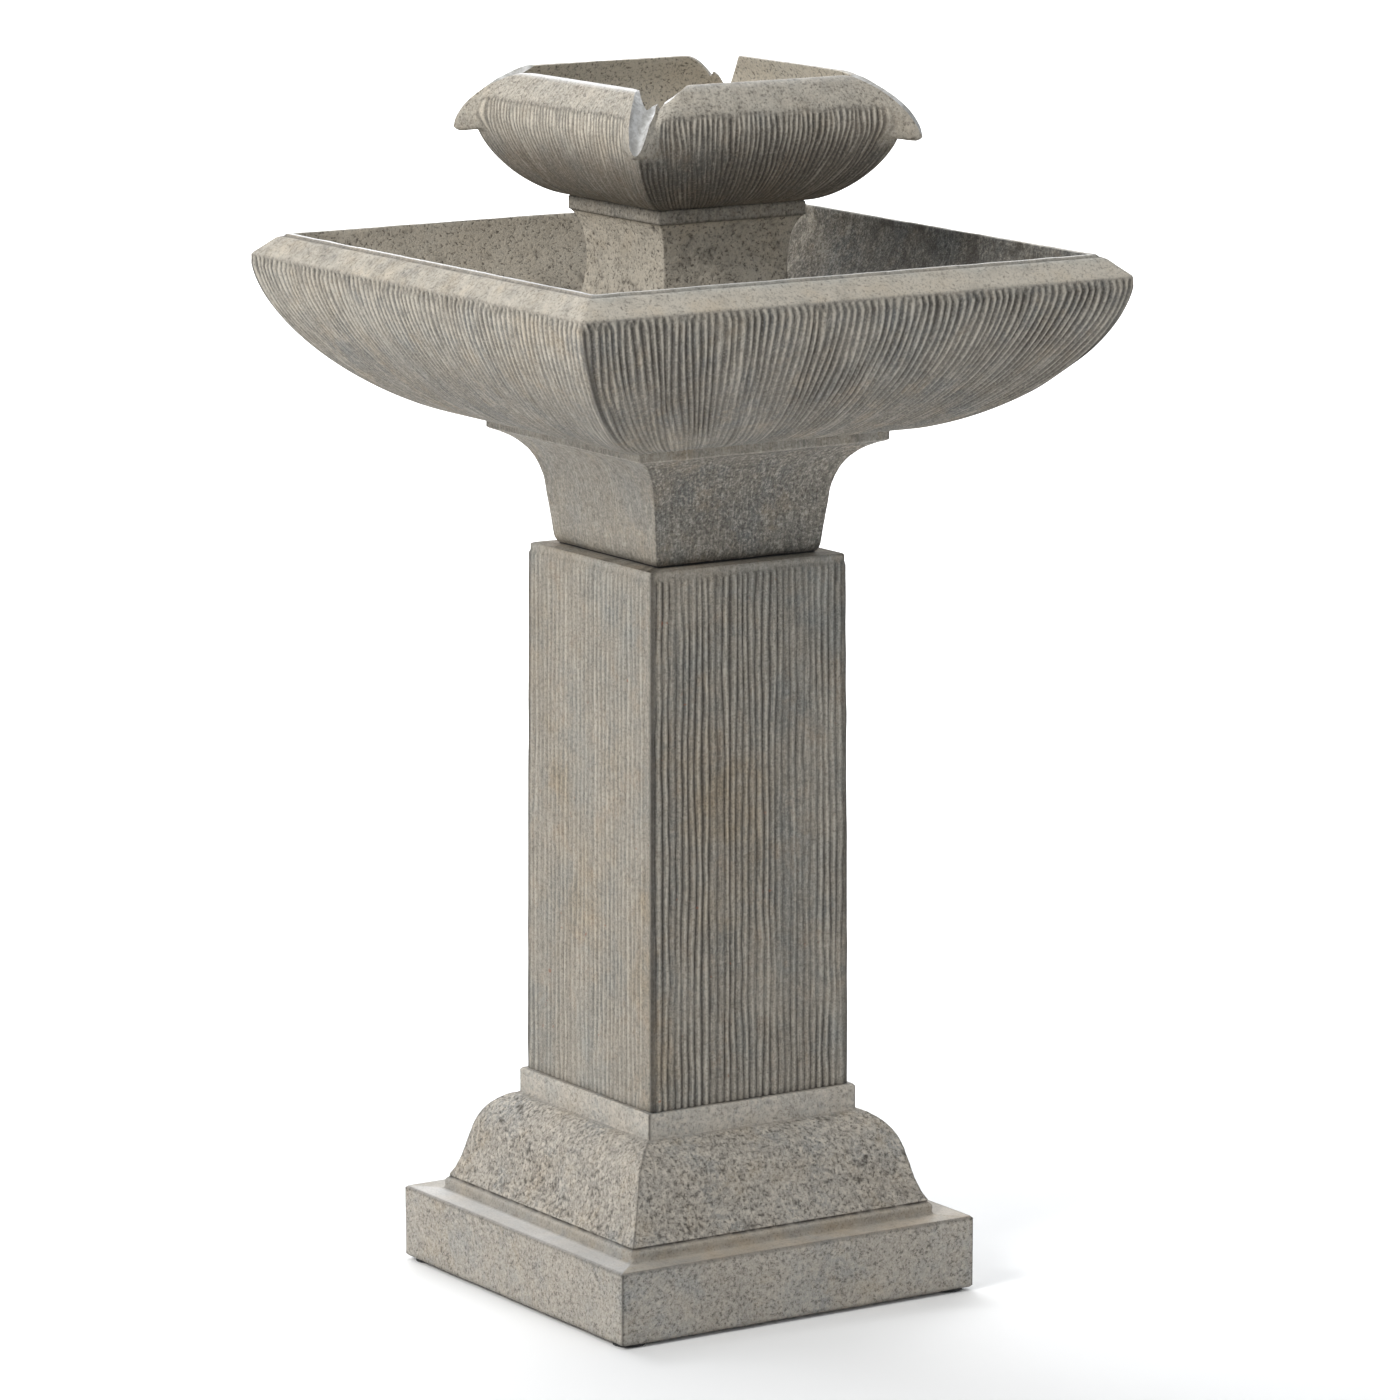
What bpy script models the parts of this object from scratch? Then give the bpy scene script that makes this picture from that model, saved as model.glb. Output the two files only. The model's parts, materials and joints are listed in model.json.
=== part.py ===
"""Two-tier bird bath with corner spouts: a cast pedestal, a square basin and a spouted top bowl.

A self-contained solar pump unit sits inside the upper stem and on the floor of the top bowl. Metres,
+Z up, origin on the ground below the middle of the plinth. Each casting is square in plan: a profile of
(half width, height) points turned in four steps about the upright axis.
"""

import math

import bmesh
import bpy
from mathutils import Matrix, Vector

# ---------------------------------------------------------------- driving dimensions
GAP = 0.0004  # clearance kept between pieces that touch

PLINTH_HALF = 0.143
PLINTH_TOP = 0.0526
PAD_HEIGHT = 0.002
PAD_RADIUS = 0.011
PAD_PLACE = PLINTH_HALF - 0.0135
BASE_WALL = 0.010
PLINTH_WALL = 0.026
WEB_OPENING_HALF = 0.030  # the square opening through both webs
FILLET_HALF = 0.1228
FILLET_TOP = 0.0600
COLLAR_HALF = 0.0845
COLLAR_BOTTOM = 0.1250
COLLAR_TOP = 0.1419
PLATE = 0.012  # thickness of the cast webs that the bolts clamp

COLUMN_BOTTOM_HALF = 0.0795
COLUMN_TOP_HALF = 0.0780
COLUMN_TOP = 0.5118
COLUMN_BORE_HALF = 0.066
BOLT_PLACE = 0.048
BOLT_RADIUS = 0.0038

NECK_BOTTOM = 0.5132
NECK_HALF = 0.0642
SPIGOT_HALF = 0.0460
SPIGOT_WALL = 0.008
SPIGOT_DEPTH = 0.011

BASIN_FLOOR = 0.614
BASIN_FOOT_HALF = 0.100
BASIN_FOOT_Z = 0.598
BASIN_WIDE_HALF = 0.2176
BASIN_WIDE_Z = 0.704
BASIN_LIP_HALF = 0.1954
BASIN_LIP_Z = 0.7203
BULGE_POWER = 1.65  # exponent of the superellipse that both bowls' flanks follow

STEM_BOTTOM = BASIN_FLOOR + GAP
STEM_PLATE_UNDER = 0.742
STEM_TOP = 0.752
STEM_COLLAR_HALF = 0.0585
STEM_FOOT_HALF = 0.068

BOWL_BOTTOM = STEM_TOP + GAP
BOWL_BOTTOM_HALF = 0.0577
BOWL_FLOOR = 0.762
BOWL_WIDE_HALF = 0.1060
BOWL_WIDE_Z = 0.808
BOWL_RIM_Z = 0.838
BOWL_RIM_HALF = 0.0905
SPOUT_WALL = 0.0045

# solar pump unit
BULKHEAD_RADIUS = 0.0100
BORE_RADIUS = 0.0042
BARB_RADIUS = 0.0055
HOSE_BORE = 0.0063
NOZZLE_RADIUS = 0.0065
NOZZLE_TOP = 0.796
TRAY_UNDER = 0.6178
TRAY_TOP = 0.6208
TRAY_HALF = 0.0541
TRAY_SCREW_PLACE = 0.0508
SCREW_HOLE_RADIUS = 0.0016
PUMP_UNDER = 0.6256
PUMP_HEIGHT = 0.036
PUMP_TOP = PUMP_UNDER + PUMP_HEIGHT
PUMP_HALF_Y = 0.017
PUMP_FRONT = -0.018
PUMP_BACK = 0.024
ROTOR_Z = PUMP_UNDER + 0.020
OUTLET_X = -0.0118
COVER_THICK = 0.0030
STRAINER_DEPTH = 0.0112
STRAINER_BACK = PUMP_FRONT - 2 * GAP - COVER_THICK
STRAINER_FRONT = STRAINER_BACK - STRAINER_DEPTH
KNOB_Z = PUMP_UNDER + 0.008
LEAD_EXIT_Z = PUMP_TOP - 0.006
SHAFT_RADIUS = 0.0010
PANEL_HALF = 0.052
PANEL_UNDER = BOWL_FLOOR + 0.0006
PANEL_TOP = 0.7760
WINDOW_TOP = 0.7790
PANEL_FLOOR = PANEL_TOP - 0.0060
CELL_BACK = 0.042
CELL_FRONT = -0.032  # the cells stop short of the front, where the button is
CELL_SIDE = 0.042
BUTTON_Y = -0.043
BUTTON_WELL_RADIUS = 0.0050
PANEL_SCREW_PLACE = 0.0470
LEAD_X = 0.030
LEAD_RADIUS = 0.0018
BATTERY_UNDER = 0.679
BATTERY_TOP = 0.734
BATTERY_NEAR = 0.0125
BATTERY_FAR = 0.0345
BATTERY_HALF_Y = 0.0265
BATTERY_WALL = 0.0015
CELL_RADIUS = 0.0071  # AA size
CELL_PITCH = 0.0154
PUMP_LEAD_X = 0.0310
PAST = 0.010  # how far a cutter runs past the faces that it opens


# ---------------------------------------------------------------- scene and materials
def clear_scene():
    for obj in list(bpy.data.objects):
        bpy.data.objects.remove(obj, do_unlink=True)


def new_collection(name):
    made = bpy.data.collections.new(name)
    bpy.context.scene.collection.children.link(made)
    return made


clear_scene()
PARTS = new_collection("bird_bath")
CUTTERS = new_collection("cutters")


def material(name, colour, roughness, metallic=0.0, alpha=1.0):
    made = bpy.data.materials.new(name)
    made.use_nodes = True
    shader = made.node_tree.nodes["Principled BSDF"]
    shader.inputs["Base Color"].default_value = (*colour, 1.0)
    shader.inputs["Roughness"].default_value = roughness
    shader.inputs["Metallic"].default_value = metallic
    shader.inputs["Alpha"].default_value = alpha
    return made


STONE_LIGHT = material("stone_pedestal", (0.36, 0.33, 0.29), 0.85)
STONE_COLUMN = material("stone_column", (0.32, 0.30, 0.26), 0.85)
STONE_BASIN = material("stone_basin", (0.33, 0.31, 0.27), 0.82)
STONE_BOWL = material("stone_bowl", (0.30, 0.27, 0.23), 0.80)
RUBBER = material("black_rubber", (0.03, 0.03, 0.03), 0.75)
STEEL = material("zinc_steel", (0.62, 0.63, 0.64), 0.35, 1.0)
STAINLESS = material("stainless_screw", (0.68, 0.68, 0.67), 0.30, 1.0)
PUMP_PLASTIC = material("pump_plastic", (0.03, 0.035, 0.04), 0.50)
GREY_PLASTIC = material("grey_plastic", (0.20, 0.21, 0.22), 0.45)
LEAD_JACKET = material("lead_jacket", (0.025, 0.025, 0.028), 0.60)
HOSE_VINYL = material("hose_vinyl", (0.55, 0.58, 0.55), 0.30)
CERAMIC = material("ceramic_shaft", (0.85, 0.84, 0.80), 0.25)
FERRITE = material("ferrite_magnet", (0.08, 0.08, 0.09), 0.45)
LAMINATION = material("stator_lamination", (0.35, 0.34, 0.33), 0.45, 1.0)
SILICON = material("solar_cells", (0.015, 0.025, 0.07), 0.25)
CLEAR = material("clear_window", (0.85, 0.90, 0.92), 0.05, 0.0, 0.35)
CELL_WRAP = material("cell_wrap", (0.10, 0.35, 0.14), 0.40)


# ---------------------------------------------------------------- modelling helpers
def add_object(name, mesh, look, collection=None):
    obj = bpy.data.objects.new(name, mesh)
    (collection or PARTS).objects.link(obj)
    if look:
        mesh.materials.append(look)
    if collection is CUTTERS:
        obj.hide_render = True
        obj.display_type = "WIRE"
    return obj


def mesh_from(build, name):
    """A new mesh holding what build makes in an empty bmesh, with its faces turned outwards."""
    shape = bmesh.new()
    build(shape)
    bmesh.ops.recalc_face_normals(shape, faces=shape.faces)
    mesh = bpy.data.meshes.new(name)
    shape.to_mesh(mesh)
    shape.free()
    return mesh


def turned(name, profile, look, steps, start, closed, collection=None, place=None):
    """A profile of (reach, height) points turned about its own Z axis; start is the plan direction."""
    mesh = bpy.data.meshes.new(name)
    points = [(reach * start[0], reach * start[1], z) for reach, z in profile]
    edges = [(i, i + 1) for i in range(len(points) - 1)]
    if closed:
        edges.append((len(points) - 1, 0))
    mesh.from_pydata(points, edges, [])
    obj = add_object(name, mesh, look, collection)
    if place:
        obj.matrix_world = place
    screw = obj.modifiers.new("turn", "SCREW")
    screw.axis = "Z"
    screw.angle = math.tau
    screw.steps = steps
    screw.render_steps = steps
    screw.use_merge_vertices = True
    screw.merge_threshold = 0.00001
    screw.use_smooth_shade = False
    return obj


def square_turned(name, profile, look, closed=True, collection=None):
    """A square casting: the profile's reach is its half width, so it starts on a plan diagonal."""
    return turned(name, profile, look, 4, (1.0, 1.0), closed, collection)


def round_turned(name, profile, look, steps=20, closed=True, place=None, collection=None):
    return turned(name, profile, look, steps, (1.0, 0.0), closed, collection, place)


def along_x(x, y, z):
    """A frame at a point whose own Z axis lies along world +X."""
    return Matrix.Translation((x, y, z)) @ Matrix.Rotation(math.pi / 2, 4, "Y")


def box(name, low, high, look, collection=None, bevel=0.0):
    middle = (Vector(low) + Vector(high)) / 2
    size = Vector(high) - Vector(low)

    def build(shape):
        bmesh.ops.create_cube(shape, size=1.0, matrix=Matrix.Diagonal((*size, 1.0)))

    obj = add_object(name, mesh_from(build, name), look, collection)
    obj.location = middle
    if bevel:
        rounding = obj.modifiers.new("rounding", "BEVEL")
        rounding.width = bevel
        rounding.segments = 1
    return obj


def cylinder(name, radius, low, high, look, collection=None, axis="Z", segments=20):
    """A cylinder from point low to point high, which differ only along axis."""
    start, end = Vector(low), Vector(high)
    turn = Matrix.Rotation(math.pi / 2, 4, "Y") if axis == "X" else Matrix.Identity(4)

    def build(shape):
        bmesh.ops.create_cone(
            shape, cap_ends=True, segments=segments, radius1=radius, radius2=radius,
            depth=(end - start).length, matrix=turn,
        )

    obj = add_object(name, mesh_from(build, name), look, collection)
    obj.location = (start + end) / 2
    return obj


def boolean(target, other, operation, solver="EXACT"):
    step = target.modifiers.new(other.name, "BOOLEAN")
    step.operation = operation
    step.solver = solver
    step.object = other


def cut(target, other):
    boolean(target, other, "DIFFERENCE")


def join(target, other):
    boolean(target, other, "UNION")


def hole(target, radius, low, high, axis="Z", segments=16):
    """A round hole through target between two points."""
    count = sum(obj.name.startswith(target.name) for obj in CUTTERS.objects)
    name = f"{target.name}_hole_{count}"
    cut(target, cylinder(name, radius, low, high, None, CUTTERS, axis, segments))


def pocket(target, low, high):
    """A box-shaped pocket cut out of target."""
    count = sum(obj.name.startswith(target.name) for obj in CUTTERS.objects)
    cut(target, box(f"{target.name}_pocket_{count}", low, high, None, CUTTERS))


def smooth_route(points, spacing):
    """Points about spacing apart on a Catmull-Rom curve through the given points."""
    route = [Vector(p) for p in points]
    ends = [2 * route[0] - route[1], *route, 2 * route[-1] - route[-2]]
    found = []
    for a, b, c, d in zip(ends, ends[1:], ends[2:], ends[3:]):
        pieces = max(1, round((c - b).length / spacing))
        for i in range(pieces):
            t = i / pieces
            found.append(
                0.5 * (2 * b + (c - a) * t + (2 * a - 5 * b + 4 * c - d) * t * t
                       + (3 * b - a - 3 * c + d) * t**3)
            )
    return [*found, route[-1]]


def tube_curve(name, points, radius, look, collection=None, resolution=2):
    """A solid round tube along points: a POLY spline with a bevel and filled caps."""
    curve = bpy.data.curves.new(name, "CURVE")
    curve.dimensions = "3D"
    curve.bevel_depth = radius
    curve.bevel_resolution = resolution
    curve.use_fill_caps = True
    spline = curve.splines.new("POLY")
    spline.points.add(len(points) - 1)
    for place, point in zip(spline.points, points):
        place.co = (*point, 1.0)
    return add_object(name, curve, look, collection)


def as_mesh(obj):
    """Turns a curve object into a closed mesh object, so that it can take part in a Boolean."""
    bpy.context.view_layer.update()
    graph = bpy.context.evaluated_depsgraph_get()
    mesh = bpy.data.meshes.new_from_object(obj.evaluated_get(graph))
    shape = bmesh.new()
    shape.from_mesh(mesh)
    bmesh.ops.remove_doubles(shape, verts=shape.verts, dist=0.00001)
    bmesh.ops.recalc_face_normals(shape, faces=shape.faces)
    shape.to_mesh(mesh)
    shape.free()
    name = obj.name
    collection = obj.users_collection[0]
    place = obj.matrix_world.copy()
    bpy.data.objects.remove(obj, do_unlink=True)
    made = add_object(name, mesh, None, collection)
    made.matrix_world = place
    return made


def bulge(low, high, steps):
    """Superellipse quarter from low to high, both (half, z): flat at its foot and upright at its top."""
    points = []
    for i in range(steps + 1):
        angle = i / steps * math.pi / 2
        out = math.sin(angle) ** (2 / BULGE_POWER)
        up = 1 - math.cos(angle) ** (2 / BULGE_POWER)
        points.append((low[0] + (high[0] - low[0]) * out, low[1] + (high[1] - low[1]) * up))
    return points


def corners(place):
    """The four plan corners of a square of that half width, counted from front left."""
    return [(-place, -place), (place, -place), (place, place), (-place, place)]


# ---------------------------------------------------------------- pedestal
def ogee(inset=0.0):
    """The base moulding from its foot to the collar: a slope with a cove below and a round shoulder."""
    outline = [
        (FILLET_HALF - 0.0035, 0.0645),
        (0.1140, 0.0780),
        (0.1105, 0.0915),
        (0.1072, 0.1030),
        (0.1025, 0.1120),
        (0.0965, 0.1185),
        (0.0900, 0.1228),
    ]
    return [(half - inset, z - inset * 0.5) for half, z in outline]


def build_base():
    underside = PAD_HEIGHT + GAP
    outer = [(COLLAR_HALF, COLLAR_TOP), (COLLAR_HALF, COLLAR_BOTTOM), *reversed(ogee())]
    outer += [(FILLET_HALF, FILLET_TOP), (FILLET_HALF, PLINTH_TOP)]
    outer += [(PLINTH_HALF, PLINTH_TOP), (PLINTH_HALF, underside)]
    rim = PLINTH_HALF - PLINTH_WALL
    roof = COLLAR_TOP - PLATE
    inner = [(rim, underside), (rim, PLINTH_TOP - BASE_WALL)]
    inner += [p for p in ogee(BASE_WALL) if p[1] < roof - 0.012]
    inner += [(COLLAR_HALF - BASE_WALL, roof - 0.006), (COLLAR_HALF - BASE_WALL, roof)]
    inner += [(WEB_OPENING_HALF, roof), (WEB_OPENING_HALF, COLLAR_TOP)]
    base = square_turned("base_casting", outer + inner, STONE_LIGHT)
    for x, y in corners(BOLT_PLACE):
        hole(base, BOLT_RADIUS + GAP, (x, y, roof - 0.01), (x, y, COLLAR_TOP + 0.01))
    for number, (x, y) in enumerate(corners(PAD_PLACE), 1):
        cylinder(f"foot_pad_{number}", PAD_RADIUS, (x, y, 0), (x, y, PAD_HEIGHT), RUBBER)


def build_column():
    low = COLLAR_TOP + GAP
    opening = SPIGOT_HALF + 0.0010
    profile = [
        (COLUMN_TOP_HALF, COLUMN_TOP),
        (COLUMN_BOTTOM_HALF, low),
        (WEB_OPENING_HALF, low),
        (WEB_OPENING_HALF, low + PLATE),
        (COLUMN_BORE_HALF, low + PLATE),
        (COLUMN_BORE_HALF, COLUMN_TOP - PLATE),
        (opening, COLUMN_TOP - PLATE),
        (opening, COLUMN_TOP),
    ]
    column = square_turned("column_casting", profile, STONE_COLUMN)
    for x, y in corners(BOLT_PLACE):
        hole(column, BOLT_RADIUS + GAP, (x, y, low - 0.01), (x, y, low + PLATE + 0.01))


def build_column_bolts():
    """Hexagon bolts from below, through the base's web into the column's foot plate."""
    seat = COLLAR_TOP - PLATE - GAP
    head = 0.0060
    for number, (x, y) in enumerate(corners(BOLT_PLACE), 1):
        name = f"column_bolt_{number}"
        bolt = cylinder(name, 0.0075, (x, y, seat - head), (x, y, seat), STEEL, segments=6)
        top = (x, y, COLLAR_TOP + PLATE + 0.004)
        foot = (x, y, seat - 0.002)
        join(bolt, cylinder(f"{name}_shank", BOLT_RADIUS, foot, top, None, CUTTERS, segments=12))


# ---------------------------------------------------------------- basin
def neck_outline():
    """The neck's concave flare, listed upwards."""
    return [
        (NECK_HALF, NECK_BOTTOM),
        (0.0665, 0.5185),
        (0.0686, 0.5360),
        (0.0708, 0.5550),
        (0.0731, 0.5640),
        (0.0763, 0.5720),
        (0.0802, 0.5782),
        (0.0862, 0.5842),
        (0.0935, 0.5884),
        (0.0985, 0.5905),
        (BASIN_FOOT_HALF, 0.5905),
    ]


def build_basin():
    flank = bulge((BASIN_FOOT_HALF, BASIN_FOOT_Z), (BASIN_WIDE_HALF, BASIN_WIDE_Z), 10)
    inside = bulge((0.085, BASIN_FLOOR), (BASIN_LIP_HALF, BASIN_LIP_Z), 8)
    rim = [
        (BASIN_LIP_HALF + 0.0040, BASIN_LIP_Z),
        (BASIN_LIP_HALF + 0.0088, BASIN_LIP_Z - 0.0025),
        (BASIN_WIDE_HALF - 0.0012, BASIN_WIDE_Z + 0.0030),
    ]
    spigot_foot = NECK_BOTTOM - SPIGOT_DEPTH
    spigot = [
        (SPIGOT_HALF, NECK_BOTTOM),
        (SPIGOT_HALF, spigot_foot),
        (SPIGOT_HALF - SPIGOT_WALL, spigot_foot),
        (SPIGOT_HALF - SPIGOT_WALL, NECK_BOTTOM),
    ]
    hollow = [(0.052, 0.536), (0.054, 0.560), (0.062, 0.580), (0.066, 0.600), (0.0, 0.600)]
    profile = [(0.0, BASIN_FLOOR), *inside, *rim, *reversed(flank), *reversed(neck_outline())]
    square_turned("basin_casting", profile + spigot + hollow, STONE_BASIN, closed=False)


def build_gasket():
    """A flat rubber frame between the neck and the column's top, around the spigot."""
    low = COLUMN_TOP + GAP
    high = NECK_BOTTOM - GAP
    profile = [(NECK_HALF - 0.001, high), (NECK_HALF - 0.001, low), (0.0485, low), (0.0485, high)]
    square_turned("basin_seat_gasket", profile, RUBBER)


# ---------------------------------------------------------------- upper stem
def stem_outline():
    """The stem's spool shape, listed downwards from its collar."""
    return [
        (STEM_COLLAR_HALF, STEM_TOP),
        (STEM_COLLAR_HALF, STEM_PLATE_UNDER),
        (0.0550, 0.7385),
        (0.0520, 0.7310),
        (0.0502, 0.7200),
        (0.0498, 0.7090),
        (0.0506, 0.6980),
        (0.0526, 0.6860),
        (0.0560, 0.6690),
        (0.0600, 0.6500),
        (0.0640, 0.6350),
        (STEM_FOOT_HALF, 0.6260),
        (STEM_FOOT_HALF, STEM_BOTTOM),
    ]


def build_stem():
    recess = TRAY_TOP + GAP
    inner = [
        (TRAY_HALF + GAP, STEM_BOTTOM),
        (TRAY_HALF + GAP, recess),
        (0.047, recess),
        (0.047, 0.640),
        (0.040, 0.680),
        (0.040, STEM_PLATE_UNDER),
        (0.0, STEM_PLATE_UNDER),
    ]
    profile = [(0.0, STEM_TOP), *stem_outline(), *inner]
    stem = square_turned("stem_casting", profile, STONE_BASIN, closed=False)
    reach = STEM_FOOT_HALF + 0.01
    lift = 0.0028
    pocket(stem, (-reach, -0.018, STEM_BOTTOM - 0.01), (reach, 0.018, STEM_BOTTOM + lift))
    pocket(stem, (-0.018, -reach, STEM_BOTTOM - 0.01), (0.018, reach, STEM_BOTTOM + lift))
    below, above = STEM_PLATE_UNDER - 0.01, STEM_TOP + 0.01
    hole(stem, BULKHEAD_RADIUS + GAP, (0, 0, below), (0, 0, above), segments=20)
    hole(stem, LEAD_RADIUS + 0.0027, (LEAD_X, 0, below), (LEAD_X, 0, above), segments=12)
    for x, y in corners(TRAY_SCREW_PLACE):
        hole(stem, SCREW_HOLE_RADIUS, (x, y, TRAY_UNDER), (x, y, TRAY_TOP + 0.009), segments=10)


def build_intake_tray():
    """A slotted plate that closes the stem's foot and carries the pump."""
    low, high = (-TRAY_HALF, -TRAY_HALF, TRAY_UNDER), (TRAY_HALF, TRAY_HALF, TRAY_TOP)
    tray = box("intake_tray", low, high, GREY_PLASTIC)
    below, above = TRAY_UNDER - PAST, TRAY_TOP + PAST
    slot_reach, slot_half = 0.034, 0.002
    for row in (-0.042, -0.030, 0.0, 0.030, 0.042):
        pocket(tray, (-slot_reach, row - slot_half, below), (slot_reach, row + slot_half, above))
    for number, (x, y) in enumerate(corners(TRAY_SCREW_PLACE), 1):
        hole(tray, SCREW_HOLE_RADIUS, (x, y, below), (x, y, above), segments=10)
        screw_up(f"tray_screw_{number}", x, y, TRAY_UNDER - GAP, TRAY_TOP + 0.0075)


def screw_up(name, x, y, seat, tip):
    """A small pan-head screw driven upwards: the head hangs below its seat."""
    profile = [(0.0, tip), (0.0012, tip), (0.0012, seat), (0.0026, seat)]
    profile += [(0.0026, seat - 0.0012), (0.0018, seat - 0.0020), (0.0, seat - 0.0020)]
    round_turned(name, profile, STAINLESS, 12, closed=False, place=Matrix.Translation((x, y, 0)))


def screw_down(name, x, y, seat, tip):
    """A small pan-head screw driven downwards: the head stands on its seat."""
    profile = [(0.0, seat + 0.0014), (0.0015, seat + 0.0014), (0.0022, seat + 0.0008), (0.0022, seat)]
    profile += [(0.0011, seat), (0.0011, tip), (0.0, tip)]
    round_turned(name, profile, STAINLESS, 12, closed=False, place=Matrix.Translation((x, y, 0)))


# ---------------------------------------------------------------- top bowl
def spout_stations():
    """Cross sections of a corner spout: plan reach, wall top, channel floor, underside, half width."""
    return [
        (0.0885, 0.8372, 0.8260, 0.7990, 0.0115),
        (0.0945, 0.8342, 0.8200, 0.7975, 0.0108),
        (0.1010, 0.8268, 0.8130, 0.7965, 0.0098),
        (0.1075, 0.8170, 0.8060, 0.7955, 0.0085),
        (0.1118, 0.8080, 0.8000, 0.7940, 0.0065),
        (0.1140, 0.8000, 0.7965, 0.7920, 0.0045),
    ]


def loft(sections):
    """Closed body through rings of points with equal counts."""

    def build(shape):
        rings = [[shape.verts.new(p) for p in ring] for ring in sections]
        for first, second in zip(rings, rings[1:]):
            for i in range(len(first)):
                j = (i + 1) % len(first)
                shape.faces.new((first[i], first[j], second[j], second[i]))
        shape.faces.new(rings[0])
        shape.faces.new(rings[-1])

    return build


def spout_ring(reach, outline, sign):
    """Places an outline of (across, z) points on the vertical plane that crosses a corner's diagonal."""
    return [(sign[0] * (reach + across), sign[1] * (reach - across), z) for across, z in outline]


def build_spout(bowl, number, sign):
    slant = math.sqrt(0.5)
    body, channel = [], []
    for reach, top, floor, under, half in spout_stations():
        inner = half * slant
        outer = (half + SPOUT_WALL) * slant
        wall = [(-outer, top), (outer, top), (outer, top - 0.002), (0.0035, under), (-0.0035, under)]
        body.append(spout_ring(reach, [*wall, (-outer, top - 0.002)], sign))
        above = BOWL_RIM_Z + 0.01
        groove_line = [(-inner, above), (inner, above), (inner, top), (0, floor), (-inner, top)]
        channel.append(spout_ring(reach, groove_line, sign))
    channel.insert(0, [(x - PAST * sign[0], y - PAST * sign[1], z) for x, y, z in channel[0]])
    channel.append([(x + PAST * sign[0], y + PAST * sign[1], z) for x, y, z in channel[-1]])
    spout = add_object(f"spout_{number}", mesh_from(loft(body), "spout"), None, CUTTERS)
    groove = add_object(f"spout_channel_{number}", mesh_from(loft(channel), "channel"), None, CUTTERS)
    boolean(bowl, spout, "UNION", "MANIFOLD")
    boolean(bowl, groove, "DIFFERENCE", "MANIFOLD")


def bowl_inside():
    """The bowl's inner wall, listed upwards from its floor."""
    return [
        (0.0600, BOWL_FLOOR),
        (0.0710, 0.7680),
        (0.0810, 0.7770),
        (0.0895, 0.7890),
        (0.0950, 0.8020),
        (0.0955, 0.8120),
        (0.0930, 0.8240),
        (BOWL_RIM_HALF - 0.0050, BOWL_RIM_Z),
    ]


def build_top_bowl():
    flank = bulge((BOWL_BOTTOM_HALF, BOWL_BOTTOM), (BOWL_WIDE_HALF, BOWL_WIDE_Z), 9)
    rim = [
        (BOWL_RIM_HALF, BOWL_RIM_Z),
        (BOWL_RIM_HALF + 0.0015, BOWL_RIM_Z - 0.0012),
        (0.1035, 0.8225),
        (0.1052, 0.8205),
    ]
    profile = [(0.0, BOWL_FLOOR), *bowl_inside(), *rim, *reversed(flank), (0.0, BOWL_BOTTOM)]
    bowl = square_turned("top_bowl", profile, STONE_BOWL, closed=False)
    for number, sign in enumerate(corners(1.0), 1):
        build_spout(bowl, number, sign)
    below, above = BOWL_BOTTOM - 0.01, BOWL_FLOOR + 0.01
    hole(bowl, BULKHEAD_RADIUS + GAP, (0, 0, below), (0, 0, above), segments=20)
    hole(bowl, 0.0054, (LEAD_X, 0, below), (LEAD_X, 0, above), segments=12)


# ---------------------------------------------------------------- water path
def build_bulkhead():
    """The fitting that clamps bowl and stem together, with the nozzle above and a hose barb below."""
    seal_top = BOWL_FLOOR + GAP + 0.0010
    flange = seal_top + GAP
    profile = [
        (NOZZLE_RADIUS, NOZZLE_TOP),
        (NOZZLE_RADIUS, flange + 0.003),
        (0.0170, flange + 0.003),
        (0.0170, flange),
        (BULKHEAD_RADIUS, flange),
        (BULKHEAD_RADIUS, 0.7325),
        (BARB_RADIUS, 0.7325),
        (BARB_RADIUS, 0.7150),
        (BORE_RADIUS, 0.7150),
        (BORE_RADIUS, NOZZLE_TOP),
    ]
    round_turned("bulkhead_fitting", profile, GREY_PLASTIC, 20)
    seal_low = BOWL_FLOOR + GAP
    ring = [(0.0165, seal_top), (0.0165, seal_low), (0.0108, seal_low), (0.0108, seal_top)]
    round_turned("bulkhead_seal", ring, RUBBER, 20)
    nut_top = STEM_PLATE_UNDER - GAP
    nut_low, nut_high = (0, 0, nut_top - 0.007), (0, 0, nut_top)
    nut = cylinder("bulkhead_nut", 0.0170, nut_low, nut_high, GREY_PLASTIC, segments=6)
    hole(nut, BULKHEAD_RADIUS + GAP, (0, 0, nut_top - 0.02), (0, 0, nut_top + 0.02), segments=20)


def build_nozzle_cap():
    """A pull-off bubbler cap that sits over the nozzle's end."""
    skirt = NOZZLE_RADIUS + GAP
    roof = NOZZLE_TOP + GAP
    profile = [
        (0.0022, roof + 0.0020),
        (0.0070, roof + 0.0020),
        (0.0086, roof + 0.0004),
        (0.0086, roof - 0.0100),
        (skirt, roof - 0.0100),
        (skirt, roof),
        (0.0022, roof),
    ]
    round_turned("nozzle_cap", profile, GREY_PLASTIC, 20)


def hose_route():
    """From the pump's outlet spigot up to the bulkhead's barb, straight over both of them."""
    return [
        (OUTLET_X, 0, 0.6640),
        (OUTLET_X, 0, 0.6780),
        (OUTLET_X * 0.78, 0, 0.6880),
        (OUTLET_X * 0.22, 0, 0.7020),
        (0, 0, 0.7120),
        (0, 0, 0.7310),
    ]


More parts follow.
